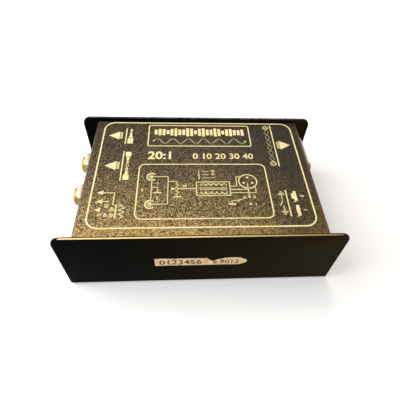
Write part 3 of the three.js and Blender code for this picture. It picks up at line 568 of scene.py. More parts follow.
def lathe(name, profile, centre, axis="X", sides=64):
    """Draws a section point by point, as (distance along the axis, radius), and spins it round."""
    along = Vector((1, 0, 0)) if axis == "X" else Vector((0, 0, 1))
    across = Vector((0, 0, 1)) if axis == "X" else Vector((1, 0, 0))
    points = [Vector(centre) + along * step + across * radius for step, radius in profile]
    deselect()
    bpy.ops.mesh.primitive_plane_add(size=MM, location=points[0] * MM)
    piece = apply_place(named(name))
    edit(piece)
    bpy.ops.mesh.select_mode(type="VERT")
    bpy.ops.mesh.select_all(action="SELECT")
    bpy.ops.mesh.merge(type="CENTER")
    for here, there in zip(points, points[1:]):
        step = (there - here) * MM
        bpy.ops.mesh.extrude_vertices_move(TRANSFORM_OT_translate={"value": step})
    bpy.ops.mesh.select_all(action="SELECT")
    bpy.ops.mesh.spin(steps=sides, angle=2 * math.pi, center=Vector(centre) * MM, axis=along)
    bpy.ops.mesh.select_all(action="SELECT")
    bpy.ops.mesh.remove_doubles(threshold=0.0005 * MM)
    bpy.ops.mesh.normals_make_consistent(inside=False)
    deselect()
    return piece


def ring_profile(start, end, bore, outer, soft):
    """The closed section of a ring with its outer edges broken by a soft chamfer."""
    return [
        (start, bore + soft),
        (start, outer - soft),
        (start + soft * 0.3, outer - soft * 0.3),
        (start + soft, outer),
        (end - soft, outer),
        (end - soft * 0.3, outer - soft * 0.3),
        (end, outer - soft),
        (end, bore + soft),
        (end - soft, bore),
        (start + soft, bore),
        (start, bore + soft),
    ]


def soften(piece, width, segments=3, angle=35):
    """Rounds every edge that is sharper than the angle."""
    return modify(
        piece,
        "BEVEL",
        width=width * MM,
        segments=segments,
        limit_method="ANGLE",
        angle_limit=math.radians(angle),
        use_clamp_overlap=True,
        harden_normals=False,
    )


def finished(piece, material, body="enclosure", replaces=(), angle=32):
    """Gives a piece its shading, finish, body and slot, and hides what it stands for."""
    apply_place(piece)
    bpy.ops.object.shade_smooth_by_angle(angle=math.radians(angle))
    piece.data.materials.clear()
    piece.data.materials.append(material)
    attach(piece, body)
    if replaces:
        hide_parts(*replaces)
    size = [round(length / MM, 2) for length in piece.dimensions]
    print("made", piece.name, "size in mm", size, "faces", len(piece.data.polygons))
    return piece

# %% [markdown]
# ## The tray
#
# The tray is one steel sheet bent into a U, so it is drawn as a sheet: a plane for the base, whose two
# long edges are extruded upwards. Bevelling the two bends gives them their radius, bevelling the four
# free corners rounds the plates, and Solidify gives the sheet its thickness inwards. A last small
# bevel is the coat's own rounding along the plates' tops, where a highlight is painted in the finish.

# %% Tray
TRAY_SHEET = 1.6
TRAY_BEND = 1.9
PLATE_CORNER = 4.5
STANDOFF_HOLE = 2.12
half_length = tray_high.x
half_depth = tray_high.y

deselect()
bpy.ops.mesh.primitive_plane_add(size=1)
tray = named("tray")
tray.scale = (2 * half_length * MM, 2 * half_depth * MM, 1)
apply_place(tray)
edit(tray)
for side in (-1, 1):
    pick("EDGE", lambda c, side=side: abs(c.y - side * half_depth) < 0.01 and c.z < 1)
    rise = {"value": (0, 0, tray_high.z * MM)}
    bpy.ops.mesh.extrude_region_move(TRANSFORM_OT_translate=rise)
pick("EDGE", lambda c: abs(abs(c.y) - half_depth) < 0.01 and c.z < 0.01)
bpy.ops.mesh.bevel(offset=TRAY_BEND * MM, segments=6, affect="EDGES")
pick("VERT", lambda c: c.z > tray_high.z - 0.01)
bpy.ops.mesh.bevel(offset=PLATE_CORNER * MM, segments=10, affect="VERTICES")
deselect()
modify(tray, "SOLIDIFY", thickness=TRAY_SHEET * MM, offset=1, use_even_offset=True)
soften(tray, 0.45, segments=4, angle=50)

screw_nodes = [f"cover_screw_{index}" for index in range(1, 5)]
standoff_nodes = [f"board_standoff_{index}" for index in range(1, 5)]
for node in screw_nodes:
    place = middle(node)
    sink = [(-0.5, 0), (-0.5, 3.3), (0, 2.85), (1.4, 1.65), (2.2, 1.65), (2.2, 0)]
    carve(tray, lathe("sink", sink, (place.x, place.y, 0), axis="Z", sides=32))
for node in standoff_nodes:
    place = middle(node)
    carve(tray, rod("hole", STANDOFF_HOLE, (place.x, place.y, -1), (place.x, place.y, 3), sides=32))
finished(tray, tray_paint, replaces=["chassis_tray"])

# %% [markdown]
# ## The cover
#
# The cover is the other sheet: a flat top, two walls and two flanges turned inwards under them. It is
# drawn from the top down in the same way, and its holes are then cut with simple cutters.

# %% Cover
COVER_SHEET = 1.2
COVER_BEND = 2.2
COVER_FLANGE = 11.2
COLLAR_HOLE = 5.7
SLOT_HALF = (5.35, 2.05)
SLOT_CORNER = 0.4
PAD_SCREW_HOLE = 1.1
SCREW_HOLE = 1.6
SOCKET_HOLE = 11.75
BUTTON_HOLE = 3.65
wall = cover_high.x
cover_half = cover_high.y
cover_top = cover_high.z

deselect()
bpy.ops.mesh.primitive_plane_add(size=1, location=(0, 0, cover_top * MM))
cover = named("cover")
cover.scale = (2 * wall * MM, 2 * cover_half * MM, 1)
apply_place(cover)
edit(cover)
for side in (-1, 1):
    pick("EDGE", lambda c, side=side: abs(c.x - side * wall) < 0.01)
    drop = {"value": (0, 0, (cover_low.z - cover_top) * MM)}
    bpy.ops.mesh.extrude_region_move(TRANSFORM_OT_translate=drop)
    inwards = {"value": (-side * COVER_FLANGE * MM, 0, 0)}
    bpy.ops.mesh.extrude_region_move(TRANSFORM_OT_translate=inwards)
pick("EDGE", lambda c: abs(abs(c.x) - wall) < 0.01 and abs(c.y) < 0.01)
bpy.ops.mesh.bevel(offset=COVER_BEND * MM, segments=8, affect="EDGES")
deselect()
modify(cover, "SOLIDIFY", thickness=COVER_SHEET * MM, offset=-1, use_even_offset=True)
soften(cover, 0.3, segments=3, angle=50)

jacks = ("input_jack", "through_jack")
switch = middle("pad_switch_knob")
socket = middle("xlr_shell")
button = middle("ground_switch_cap")
left_wall = (-wall - 2, -wall + 3)
right_wall = (wall - 3, wall + 2)


def bore(piece, radius, place, reach, sides=48):
    """Drills a hole along X at a place, from the first to the second end of its reach."""
    start = (reach[0], place.y, place.z)
    end = (reach[1], place.y, place.z)
    return carve(piece, rod("hole", radius, start, end, sides))


for jack in jacks:
    bore(cover, COLLAR_HOLE, middle(f"{jack}_bushing"), left_wall)
slot_low = (left_wall[0], switch.y - SLOT_HALF[0], switch.z - SLOT_HALF[1])
slot_high = (left_wall[1], switch.y + SLOT_HALF[0], switch.z + SLOT_HALF[1])
carve(cover, soften(slab("slot", slot_low, slot_high), SLOT_CORNER))
for index in (1, 2):
    bore(cover, PAD_SCREW_HOLE, middle(f"pad_switch_screw_{index}"), left_wall, 24)
    bore(cover, SCREW_HOLE, middle(f"xlr_screw_{index}"), right_wall, 24)
bore(cover, SOCKET_HOLE, socket, right_wall, 96)
bore(cover, BUTTON_HOLE, button, right_wall)
for node in screw_nodes:
    place = middle(node)
    carve(cover, rod("hole", SCREW_HOLE, (place.x, place.y, 0.5), (place.x, place.y, 4), 24))
finished(cover, cover_paint, replaces=["cover_shell"])

# %% [markdown]
# ## The printed diagram
#
# The drawing on the cover is one layer of cream ink, laid through a screen. It is modelled as thin
# flat shapes that lie on the paint: strips for lines, rings and rounded frames made by an inset whose
# middle is deleted, and triangles for arrows. Where such boxes have words, this one has plain
# numbers, plug and socket pictograms and circuit symbols. All of it is drawn flat in millimetres,
# group by group, and each group is then joined, given the thickness of the ink and laid on the cover.

# %% Flat shapes for the print
INK = 0.03
LINE = 0.62
THIN = 0.4
INK_LIFT = 0.012
DIGIT_SHARE = 0.72
strokes = []


def keep_stroke(piece):
    strokes.append(apply_place(piece))
    return piece


def strip(start, end, width=LINE, square=True):
    """A straight line of ink between two (x, y) points, with its ends half a width further out."""
    start, end = Vector((*start, 0)), Vector((*end, 0))
    way = end - start
    longer = width if square else 0
    deselect()
    bpy.ops.mesh.primitive_plane_add(
        size=1,
        location=(start + end) / 2 * MM,
        rotation=(0, 0, math.atan2(way.y, way.x)),
    )
    piece = named("strip")
    piece.scale = ((way.length + longer) * MM, width * MM, 1)
    return keep_stroke(piece)


def line(points, width=LINE):
    for start, end in zip(points, points[1:]):
        strip(start, end, width)


def block(low, high):
    """A filled rectangle between two corners."""
    middle_y = (low[1] + high[1]) / 2
    return strip((low[0], middle_y), (high[0], middle_y), high[1] - low[1], square=False)


def rounded_frame(low, high, radius, width=LINE):
    """A rounded rectangle: the corners of a plane bevelled, its rim inset and its middle deleted."""
    deselect()
    place = ((low[0] + high[0]) / 2 * MM, (low[1] + high[1]) / 2 * MM, 0)
    bpy.ops.mesh.primitive_plane_add(size=1, location=place)
    piece = named("frame")
    piece.scale = ((high[0] - low[0]) * MM, (high[1] - low[1]) * MM, 1)
    apply_place(piece)
    edit(piece)
    bpy.ops.mesh.bevel(offset=radius * MM, segments=10, affect="VERTICES")
    bpy.ops.mesh.select_all(action="SELECT")
    bpy.ops.mesh.select_mode(type="FACE")
    bpy.ops.mesh.inset(thickness=width * MM, depth=0)
    bpy.ops.mesh.delete(type="FACE")
    return keep_stroke(piece)


def disc(place, radius, sides=32, turn=0.0):
    deselect()
    bpy.ops.mesh.primitive_circle_add(
        vertices=sides,
        radius=radius * MM,
        fill_type="NGON",
        location=(place[0] * MM, place[1] * MM, 0),
        rotation=(0, 0, math.radians(turn)),
    )
    return keep_stroke(named("disc"))


def hoop(place, radius, width=LINE, open_towards=None, gap=50):
    """A ring of ink, with a gap in it towards a direction in degrees if one is given."""
    piece = disc(place, radius + width / 2, 40)
    edit(piece)
    bpy.ops.mesh.select_mode(type="FACE")
    bpy.ops.mesh.inset(thickness=width * MM, depth=0)
    bpy.ops.mesh.delete(type="FACE")
    if open_towards is not None:
        aim = math.radians(open_towards)

        def in_gap(c):
            turn = math.atan2(c.y - place[1], c.x - place[0]) - aim
            return math.cos(turn) > math.cos(math.radians(gap))

        pick("FACE", in_gap)
        bpy.ops.mesh.delete(type="FACE")
    deselect()
    return piece


def arrow_head(tip, length, half_width):
    """A filled triangle that points along X, to the side on which its length is negative or positive."""
    piece = disc((0, 0), 1, sides=3, turn=-90 if length > 0 else 90)
    piece.scale = (abs(length) / 1.5, half_width / math.cos(math.radians(30)), 1)
    piece.location = ((tip[0] - length * 2 / 3) * MM, tip[1] * MM, 0)
    return apply_place(piece)


def number(text, place, height, turn=0, bold=0.0):
    """Plain digits, made a mesh before they are placed. Height is that of the digits in mm."""
    deselect()
    bpy.ops.object.text_add()
    piece = bpy.context.object
    piece.data.body = text
    piece.data.align_x = "LEFT"
    piece.data.align_y = "BOTTOM_BASELINE"
    piece.data.size = height / DIGIT_SHARE * MM
    piece.data.offset = bold * MM
    piece.data.resolution_u = 3
    bpy.ops.object.convert(target="MESH")
    piece = named("number")
    piece.location = (place[0] * MM, place[1] * MM, 0)
    piece.rotation_euler = (0, 0, math.radians(turn))
    return keep_stroke(piece)


def thicken_ink(piece):
    """Turns every flat face upwards and gives the ink its thickness."""
    edit(piece)
    bpy.ops.mesh.select_all(action="DESELECT")
    bpy.ops.mesh.select_mode(type="FACE")
    mesh = bmesh.from_edit_mesh(piece.data)
    for face in mesh.faces:
        face.select_set(face.normal.z < 0)
    bmesh.update_edit_mesh(piece.data)
    bpy.ops.mesh.flip_normals()
    deselect()
    modify(piece, "SOLIDIFY", thickness=INK * MM, offset=1)


def join_strokes(name):
    """Joins the strokes drawn so far into one piece and gives it the thickness of the ink."""
    deselect()
    for stroke in strokes:
        stroke.select_set(True)
    bpy.context.view_layer.objects.active = strokes[0]
    if len(strokes) > 1:
        bpy.ops.object.join()
    strokes.clear()
    piece = named(name)
    thicken_ink(piece)
    return piece


def printed(name):
    """Lays the strokes drawn so far on the cover's top as one piece of ink."""
    piece = join_strokes(name)
    piece.location = (0, 0, cover_top * MM + INK_LIFT * MM)
    return finished(piece, cream_ink)

# %% [markdown]
# ### Border and frames
#
# One thick rounded line runs round the whole top, a second frames the heading and a third the
# circuit. Their places are drawn from the cover's middle.

# %% Border and frames
rounded_frame((-52.2, -34.5), (52.4, 38.2), 6, 0.75)
printed("print_border")

rounded_frame((-28.1, 18.4), (28.0, 36.0), 1.4, LINE)
printed("print_heading_frame")

rounded_frame((-31.3, -29.7), (32.9, 5.3), 3.4, LINE)
printed("print_circuit_frame")

# %% [markdown]
# ### Heading
#
# The heading's frame holds a picture of sound: a row of bars whose heights swell and fall, and a
# wave under it. Below stands the transformer's ratio in bold digits, and a plain scale of numbers.

# %% Heading
BARS = 23
ROW_START = -25
ROW_LENGTH = 50
bar_pitch = ROW_LENGTH / BARS
for step in range(BARS):
    x = ROW_START + bar_pitch * (step + 0.5)
    swell = 0.45 + 0.55 * abs(math.sin(step * 0.9 + 0.4)) * math.cos((step - BARS / 2) * 0.09)
    half = 3.5 * swell
    block((x - bar_pitch * 0.36, 30 - half), (x + bar_pitch * 0.36, 30 + half))
printed("print_level_bars")

WAVE_STEPS = 66
WAVE_PERIODS = 6
wave = []
for step in range(WAVE_STEPS + 1):
    share = step / WAVE_STEPS
    height = 1.9 * math.sin(share * 2 * WAVE_PERIODS * math.pi)
    wave.append((ROW_START + ROW_LENGTH * step / WAVE_STEPS, 22.7 + height))
line(wave, 0.75)
printed("print_wave")

number("20:1", (-27.4, 8.9), 5.6, bold=0.22)
printed("print_ratio")

number("0 10 20 30 40", (-4.2, 9.0), 4.1, bold=0.1)
printed("print_scale")

# %% [markdown]
# ### Marks beside the connectors
#
# A filled arrow with a short tail points at each connector, and a line divides it from a pictogram:
# a quarter-inch plug at the input, two plugs with a link at the parallel output, a resistor at the
# pad, two three-pin sockets with a twisted pair at the balanced output, and an earth sign at the
# ground switch.

# %% Pictograms
def plug_mark(x, start, end):
    """A jack plug drawn along Y from its handle at start to its tip at end."""
    way = 1 if end > start else -1
    reach = abs(end - start)

    def across(first, last, half):
        low, high = sorted((start + way * first * reach, start + way * last * reach))
        block((x - half, low), (x + half, high))

    across(0.0, 0.36, 1.45)
    across(0.40, 0.50, 1.0)
    across(0.50, 0.70, 0.62)
    across(0.74, 0.82, 0.62)
    across(0.86, 0.94, 0.62)
    across(0.94, 1.0, 0.34)


def zigzag(start, end, half, teeth=5):
    """A resistor sign between two points, its teeth half a width to each side."""
    a, b = Vector(start), Vector(end)
    way = (b - a).normalized()
    side = Vector((-way.y, way.x))
    points = [a]
    for tooth in range(teeth):
        share = (tooth + 0.5) / teeth
        points.append(a + (b - a) * share + side * half * (1 if tooth % 2 else -1))
    points.append(b)
    line([tuple(point) for point in points], THIN)


def earth_mark(place, width, way):
    """Three bars that shorten along way, a unit vector."""
    x, y = place
    for step, share in enumerate((1.0, 0.62, 0.25)):
        at = Vector((x, y)) + Vector(way) * step * 0.85
        side = Vector((-way[1], way[0])) * width / 2 * share
        strip(tuple(at - side), tuple(at + side), THIN)


def pointer(tip_x, y, direction, half=3.2):
    """An arrow that points out of the case, with three short bars for its tail."""
    arrow_head((tip_x, y), 5.8 * direction, half)
    for step in (0.5, 1.2):
        x = tip_x - (5.9 + step) * direction
        strip((x, y - half * 0.72), (x, y + half * 0.72), 0.42)

# %% Marks on the left
pointer(-49.0, 27.0, -1)
strip((-39.8, 20.4), (-39.8, 32.6))
plug_mark(-37.3, 20.6, 32.4)
printed("print_input_mark")

pointer(-48.4, 4.1, -1)
strip((-39.7, -5.9), (-39.7, 14.2))
plug_mark(-37.2, -5.7, 3.0)
strip((-37.7, 3.6), (-37.7, 4.8), THIN)
strip((-36.7, 3.6), (-36.7, 4.8), THIN)
plug_mark(-37.2, 14.0, 5.4)
printed("print_parallel_mark")

arrow_head((-49.4, -13.8), -3.0, 1.25)
line([(-47, -13.9), (-41.2, -13.9), (-41.2, -21.0)], THIN)
arrow_head((-49.2, -19.1), -3.0, 1.25)
line([(-47, -19.1), (-43.3, -19.1)], THIN)
arrow_head((-49.1, -24.0), -2.6, 1.2)
number("40", (-42.2, -22.3), 1.7, turn=-90, bold=0.04)
number("20", (-44.8, -20.4), 1.7, turn=-90, bold=0.04)
number("0", (-47.2, -26.0), 1.7, turn=-90, bold=0.04)
number("40", (-44.8, -25.6), 1.7, turn=-90, bold=0.04)
number("20", (-42.2, -26.0), 1.7, turn=-90, bold=0.04)
strip((-39.6, -21.0), (-39.6, -28.5))
zigzag((-37.0, -21.0), (-37.0, -28.4), 1.4, 6)
printed("print_pad_mark")

# %% Marks on the right
SOCKET_TURN = (90, 210, 330)


def pin_dots(place, reach, radius, sides):
    """Three dots round a place, like the pins of a socket seen from the front."""
    for turn in SOCKET_TURN:
        angle = math.radians(turn)
        x = place[0] + reach * math.cos(angle)
        y = place[1] + reach * math.sin(angle)
        disc((x, y), radius, sides)


def socket_mark(place, radius):
    """A three-pin socket seen from the front."""
    hoop(place, radius, THIN)
    pin_dots(place, 0.5 * radius, 0.3, 10)


pointer(49.4, 19.8, 1, 3.4)
strip((40.6, 3.9), (40.6, 36.1))
socket_mark((37.8, 5.6), 1.4)
socket_mark((37.8, 34.3), 1.4)
PAIR_STEPS = 48
for phase in (0, math.pi):
    pair = []
    for step in range(PAIR_STEPS + 1):
        share = step / PAIR_STEPS
        pair.append((37.8 + 1.0 * math.sin(share * 6 * math.pi + phase), 7.4 + 25.1 * share))
    line(pair, THIN)
printed("print_output_mark")

strip((40.5, -13.1), (40.5, -28.4))
earth_mark((38.0, -15.6), 2.9, (0, 1))
line([(38.0, -15.6), (38.0, -18.4), (38.0, -19.4)], THIN)
line([(38.0, -19.4), (36.6, -22.2)], THIN)
line([(38.0, -22.6), (38.0, -25.6)], THIN)
earth_mark((38.0, -25.8), 2.9, (0, -1))
for y in (-16.6, -25.2):
    pressed = 0.0 if y > -20 else 0.9
    block((43.9, y - 3.1), (45.4, y + 3.1))
    block((42.8 + pressed, y - 1.7), (43.9, y + 1.7))
    strip((43.4, y - 3.4), (44.2, y - 3.4), THIN)
number("0", (48.9, -17.3), 1.9, turn=90, bold=0.04)
number("1", (48.9, -25.7), 1.9, turn=90, bold=0.04)
printed("print_ground_mark")

# %% [markdown]
# ### The circuit
#
# Inside its frame runs the circuit itself: the two jacks joined, the pad as a resistor with a
# sliding contact, the transformer as a box with two windings, the three-pin socket, and the switch
# that lifts the ground.

# %% Jacks and pad in the circuit
for y in (-3.7, -21.0):
    hoop((-24.5, y), 2.3, 0.62, open_towards=0, gap=48)
    disc((-24.5, y), 0.75, 12)
    hoop((-24.5, y), 1.25, 0.3, open_towards=0, gap=60)
line([(-24.0, -3.6), (-16.5, -3.6), (-16.5, -20.9), (-24.0, -20.9)], THIN)
line([(-24.3, -5.8), (-24.3, -18.8)], THIN)
line([(-24.3, -10.6), (-21.4, -10.6), (-21.4, -13.2)], THIN)
line([(-22.8, -14.0), (-19.6, -14.0)], 0.6)
line([(-21.4, -13.6), (-21.4, -12.6)], 0.7)
number("1", (-21.9, -8.7), 1.7, bold=0.05)
number("2", (-22.0, -17.9), 1.7, bold=0.05)
number("0", (-29.2, -12.9), 1.6, bold=0.05)
printed("print_circuit_jacks")

line([(-16.5, -6.8), (-12.0, -6.8), (-12.0, -7.8)], THIN)
zigzag((-12.0, -7.8), (-12.0, -15.6), 0.9, 7)
line([(-12.0, -15.6), (-12.0, -16.4)], THIN)
line([(-13.6, -16.6), (-10.3, -16.6)], 0.55)
arrow_head((-12.6, -11.5), 2.2, 1.0)
line([(-11.0, -11.4), (-3.0, -11.4)], THIN)
number("20", (-9.6, -10.6), 1.6, bold=0.04)
printed("print_circuit_pad")

# %% Transformer, socket and ground switch in the circuit
rounded_frame((-3.0, -16.1), (13.7, -7.0), 0.35, 0.45)
for y in (-9.6, -13.7):
    for turn in range(5):
        x = 0.2 + 2.6 * turn
        towards = -90 if y > -11 else 90
        hoop((x + 0.2, y), 1.15, THIN, open_towards=towards, gap=80)
line([(-1.2, -11.2), (11.9, -11.2)], 0.32)
line([(-1.2, -12.0), (11.9, -12.0)], 0.32)
for row, mark in enumerate(("1", "2", "3")):
    y = -1.0 - 2.15 * row
    number(mark, (-2.0, y), 1.6, bold=0.05)
    line([(0.4, y + 0.8), (3.4, y + 0.8)], 0.3)
earth_mark((5.6, 0.55), 1.9, (0, -1))
line([(5.6, -1.4), (5.6, -3.0)], 0.32)
line([(4.8, -2.2), (6.4, -2.2)], 0.32)
line([(4.8, -4.4), (6.4, -4.4)], 0.32)
printed("print_circuit_transformer")

hoop((22.7, -6.9), 4.5, 0.55)
pin_dots((22.7, -6.7), 2.4, 0.6, 16)
line([(13.7, -10.0), (17.0, -10.0), (17.0, -3.6), (19.2, -3.6)], THIN)
line([(13.7, -12.1), (22.4, -12.1)], THIN)
line([(13.7, -14.2), (26.0, -14.2), (26.0, -9.8)], THIN)
line([(22.4, -8.4), (22.4, -16.4)], THIN)
disc((22.4, -16.9), 0.62, 16)
disc((22.4, -21.3), 0.62, 16)
line([(12.3, -21.2), (15.2, -21.2)], 0.75)
line([(13.7, -21.0), (13.7, -19.2), (16.4, -19.2)], THIN)
hoop((16.9, -19.1), 0.5, 0.3)
line([(17.2, -18.9), (20.2, -17.6)], THIN)
arrow_head((21.2, -17.3), 1.7, 0.75)
number("0", (24.2, -17.8), 1.7, bold=0.04)
number("1", (24.4, -22.2), 1.7, bold=0.04)
printed("print_circuit_output")

# %% [markdown]
# ## Jacks on the left wall
#
# A jack is held to the wall by its own threaded bushing, and a black insulating collar keeps it off
# the steel, so that its ground can be lifted. A plated washer and a hexagon nut hold the collar.
# Round parts are drawn as half a section and spun, as on a lathe. The thread is a row of fine ridges
# in that section. The nut starts as a six-sided cylinder whose corners are cut round by a turned
# blank, because that is how a real nut gets its chamfer.

# %% Jack fittings
JACK_BORE = 3.25
THREAD_PITCH = 0.75
THREAD_DEPTH = 0.22
COLLAR_BORE = 4.95
WASHER_BORE = 4.9
NUT_BORE = 4.8
NUT_ACROSS_FLATS = 12.7
NUT_TURN = 15


def thread_profile(start, end, radius):
    """Ridges of a screw thread from start to end along the axis."""
    points = []
    turns = int(abs(end - start) / THREAD_PITCH)
    pitch = (end - start) / turns
    for turn in range(turns):
        points.append((start + pitch * (turn + 0.08), radius - THREAD_DEPTH))
        points.append((start + pitch * (turn + 0.42), radius))
        points.append((start + pitch * (turn + 0.58), radius))
        points.append((start + pitch * (turn + 0.92), radius - THREAD_DEPTH))
    return points


def jack_bushing(jack):
    low, high = span(f"{jack}_bushing")
    radius = (high.y - low.y) / 2
    centre = (0, middle(f"{jack}_bushing").y, middle(f"{jack}_bushing").z)
    nut_face = span(f"{jack}_nut")[0].x
    profile = [
        (low.x + 0.75, JACK_BORE),
        (low.x + 0.3, JACK_BORE + 0.12),
        (low.x + 0.06, JACK_BORE + 0.42),
        (low.x, JACK_BORE + 0.65),
        (low.x + 0.08, radius - 0.42),
        (low.x + 0.3, radius - 0.2),
        *thread_profile(low.x + 0.45, nut_face + 0.6, radius),
        (high.x, radius - THREAD_DEPTH),
        (high.x, JACK_BORE),
        (low.x + 0.75, JACK_BORE),
    ]
    piece = lathe(f"{jack}_bushing_turned", profile, centre, sides=72)
    return finished(piece, gold, replaces=[f"{jack}_bushing"], angle=40)


def jack_collar(jack):
    low, high = span(f"{jack}_collar")
    radius = (high.y - low.y) / 2
    place = middle(f"{jack}_collar")
    profile = [
        (low.x, COLLAR_BORE),
        (low.x, radius - 0.5),
        (low.x + 0.15, radius - 0.15),
        (low.x + 0.5, radius),
        (-wall - 0.25, radius),
        (-wall - 0.02, radius - 0.2),
        (-wall - 0.02, 5.6),
        (high.x, 5.5),
        (high.x, COLLAR_BORE),
        (low.x, COLLAR_BORE),
    ]
    piece = lathe(f"{jack}_collar_moulded", profile, (0, place.y, place.z), sides=72)
    return finished(piece, black_abs, replaces=[f"{jack}_collar"])


def jack_washer(jack):
    low, high = span(f"{jack}_washer")
    place = middle(f"{jack}_washer")
    profile = ring_profile(low.x, high.x, WASHER_BORE, (high.y - low.y) / 2, 0.18)
    piece = lathe(f"{jack}_washer_stamped", profile, (0, place.y, place.z), sides=72)
    return finished(piece, nickel, replaces=[f"{jack}_washer"])


def jack_nut(jack):
    low, high = span(f"{jack}_nut")
    corner = NUT_ACROSS_FLATS / 2 / math.cos(math.radians(30))
    place = middle(f"{jack}_nut")
    nut = rod(f"{jack}_nut_cut", corner, (low.x, place.y, place.z), (high.x, place.y, place.z), 6)
    edit(nut)
    bpy.ops.transform.rotate(
        value=math.radians(NUT_TURN),
        orient_axis="X",
        center_override=place * MM,
    )
    deselect()
    flat = corner * math.cos(math.radians(30))
    blank = [
        (low.x - 0.001, 0),
        (low.x - 0.001, flat - 0.25),
        (low.x + 0.55, corner + 0.02),
        (high.x - 0.3, corner + 0.02),
        (high.x + 0.001, corner - 0.5),
        (high.x + 0.001, 0),
    ]
    carve(nut, lathe("blank", blank, (0, place.y, place.z), sides=96), "INTERSECT")
    bore(nut, NUT_BORE, place, (low.x - 1, high.x + 1), 72)
    soften(nut, 0.12, segments=2, angle=28)
    return finished(nut, nickel, replaces=[f"{jack}_nut"], angle=25)


for jack in jacks:
    jack_collar(jack)
    jack_washer(jack)
    jack_nut(jack)
    jack_bushing(jack)

# %% [markdown]
# ## Cross-recessed screws
#
# A screw's head and shank are turned from its section, and a cross is sunk in it with two thin
# crossed blocks. The heads differ only in their section: a cone that lies flush under the tray, and a
# low dome elsewhere.

# %% Screws
def cross_cutter(place, direction, width, arm, depth):
    """A plus sign that sinks into a head at a place, along a direction."""
    place = Vector(place)
    direction = Vector(direction)
    blades = []
    for turn in (0, 1):
        side = Vector((0, 1, 0)) if direction.x else Vector((1, 0, 0))
        other = direction.cross(side)
        if turn:
            side, other = other, side
        reach = side * arm + other * (width / 2)
        low = place - reach - direction * 0.5
        high = place + reach + direction * depth
        blades.append(slab("blade", tuple(map(min, low, high)), tuple(map(max, low, high))))
    carve(blades[0], blades[1], "UNION")
    return blades[0]


def pan_head(node, way, head):
    """A screw with a low domed head, whose shank points along X to the side given by way."""
    low, high = span(node)
    place = middle(node)
    radius = (high.y - low.y) / 2
    top, tail = (low.x, high.x) if way > 0 else (high.x, low.x)
    shank = radius * 0.5
    profile = [
        (top, 0),
        (top + way * head * 0.06, radius * 0.45),
        (top + way * head * 0.3, radius * 0.8),
        (top + way * head * 0.62, radius * 0.97),
        (top + way * head * 0.8, radius),
        (top + way * head, radius * 0.97),
        (top + way * head, shank),
        (tail, shank),
        (tail, 0),
    ]
    piece = lathe(f"{node}_turned", profile, (0, place.y, place.z), sides=40)
    face = (top, place.y, place.z)
    carve(piece, cross_cutter(face, (way, 0, 0), radius * 0.3, radius * 0.62, head * 0.6))
    return finished(piece, black_zinc, replaces=[node], angle=40)


for index in (1, 2):
    pan_head(f"pad_switch_screw_{index}", 1, 1.3)
    pan_head(f"xlr_screw_{index}", -1, 1.5)

SUNK_SHANK = 1.4
for node in screw_nodes:
    place = middle(node)
    low, high = span(node)
    radius = (high.x - low.x) / 2
    profile = [
        (0, 0),
        (0, radius - 0.12),
        (0.1, radius),
        (0.22, radius),
        (1.5, SUNK_SHANK),
        (high.z, SUNK_SHANK),
        (high.z, 0),
    ]
    piece = lathe(f"{node}_turned", profile, (place.x, place.y, 0), axis="Z", sides=40)
    carve(piece, cross_cutter((place.x, place.y, 0), (0, 0, 1), 0.75, 1.7, 1.1))
    finished(piece, black_zinc, replaces=[node], angle=40)

# %% [markdown]
# ## Pad switch
#
# The slide's knob is a small moulded block with a rounded top and three ribs for the finger. The
# block is a cube whose edges are softened; a rim inset in its end first gives that rounding a ring of
# faces to run out in. The ribs are narrow bars joined to it, and a wider carriage behind the wall
# keeps the knob from falling out. It rides on the slider's own body, so it moves with the pad joint.

# %% Pad switch knob
low, high = span("pad_switch_knob")
KNOB_HALF = (2.1, 1.8)
RIB_PITCH = 1.25
RIB_HALF = 0.28
RIB_INSET = 0.35
knob = slab(
    "pad_switch_knob_moulded",
    (low.x + 0.25, switch.y - KNOB_HALF[0], switch.z - KNOB_HALF[1]),
    (-wall + 2.0, switch.y + KNOB_HALF[0], switch.z + KNOB_HALF[1]),
)
edit(knob)
pick("FACE", lambda c: c.x < low.x + 0.3)
bpy.ops.mesh.inset(thickness=RIB_INSET * MM, depth=0.0)
deselect()
soften(knob, 0.28, segments=3)
for shift in (-RIB_PITCH, 0, RIB_PITCH):
    rib = slab(
        "rib",
        (low.x, switch.y + shift - RIB_HALF, switch.z - KNOB_HALF[1] + RIB_INSET),
        (low.x + 1.0, switch.y + shift + RIB_HALF, switch.z + KNOB_HALF[1] - RIB_INSET),
    )
    soften(rib, 0.12, segments=2)
    carve(knob, rib, "UNION")
carriage = slab("carriage", (-wall + 1.6, low.y, low.z), (high.x, high.y, high.z))
soften(carriage, 0.2, segments=2)
carve(knob, carriage, "UNION")
finished(knob, black_abs, body="pad_slider", replaces=["pad_switch_knob"])

# %% [markdown]
# ## Three-pin socket
#
# The socket is a die-cast flange with rounded corners, a raised ring round its mouth and a barrel
# behind. Its flange is a plane in the wall's own direction, with bevelled corners, extruded to its
# thickness. The mouth is cut last, together with the keyway at its top, and the pins are turned with
# rounded noses.

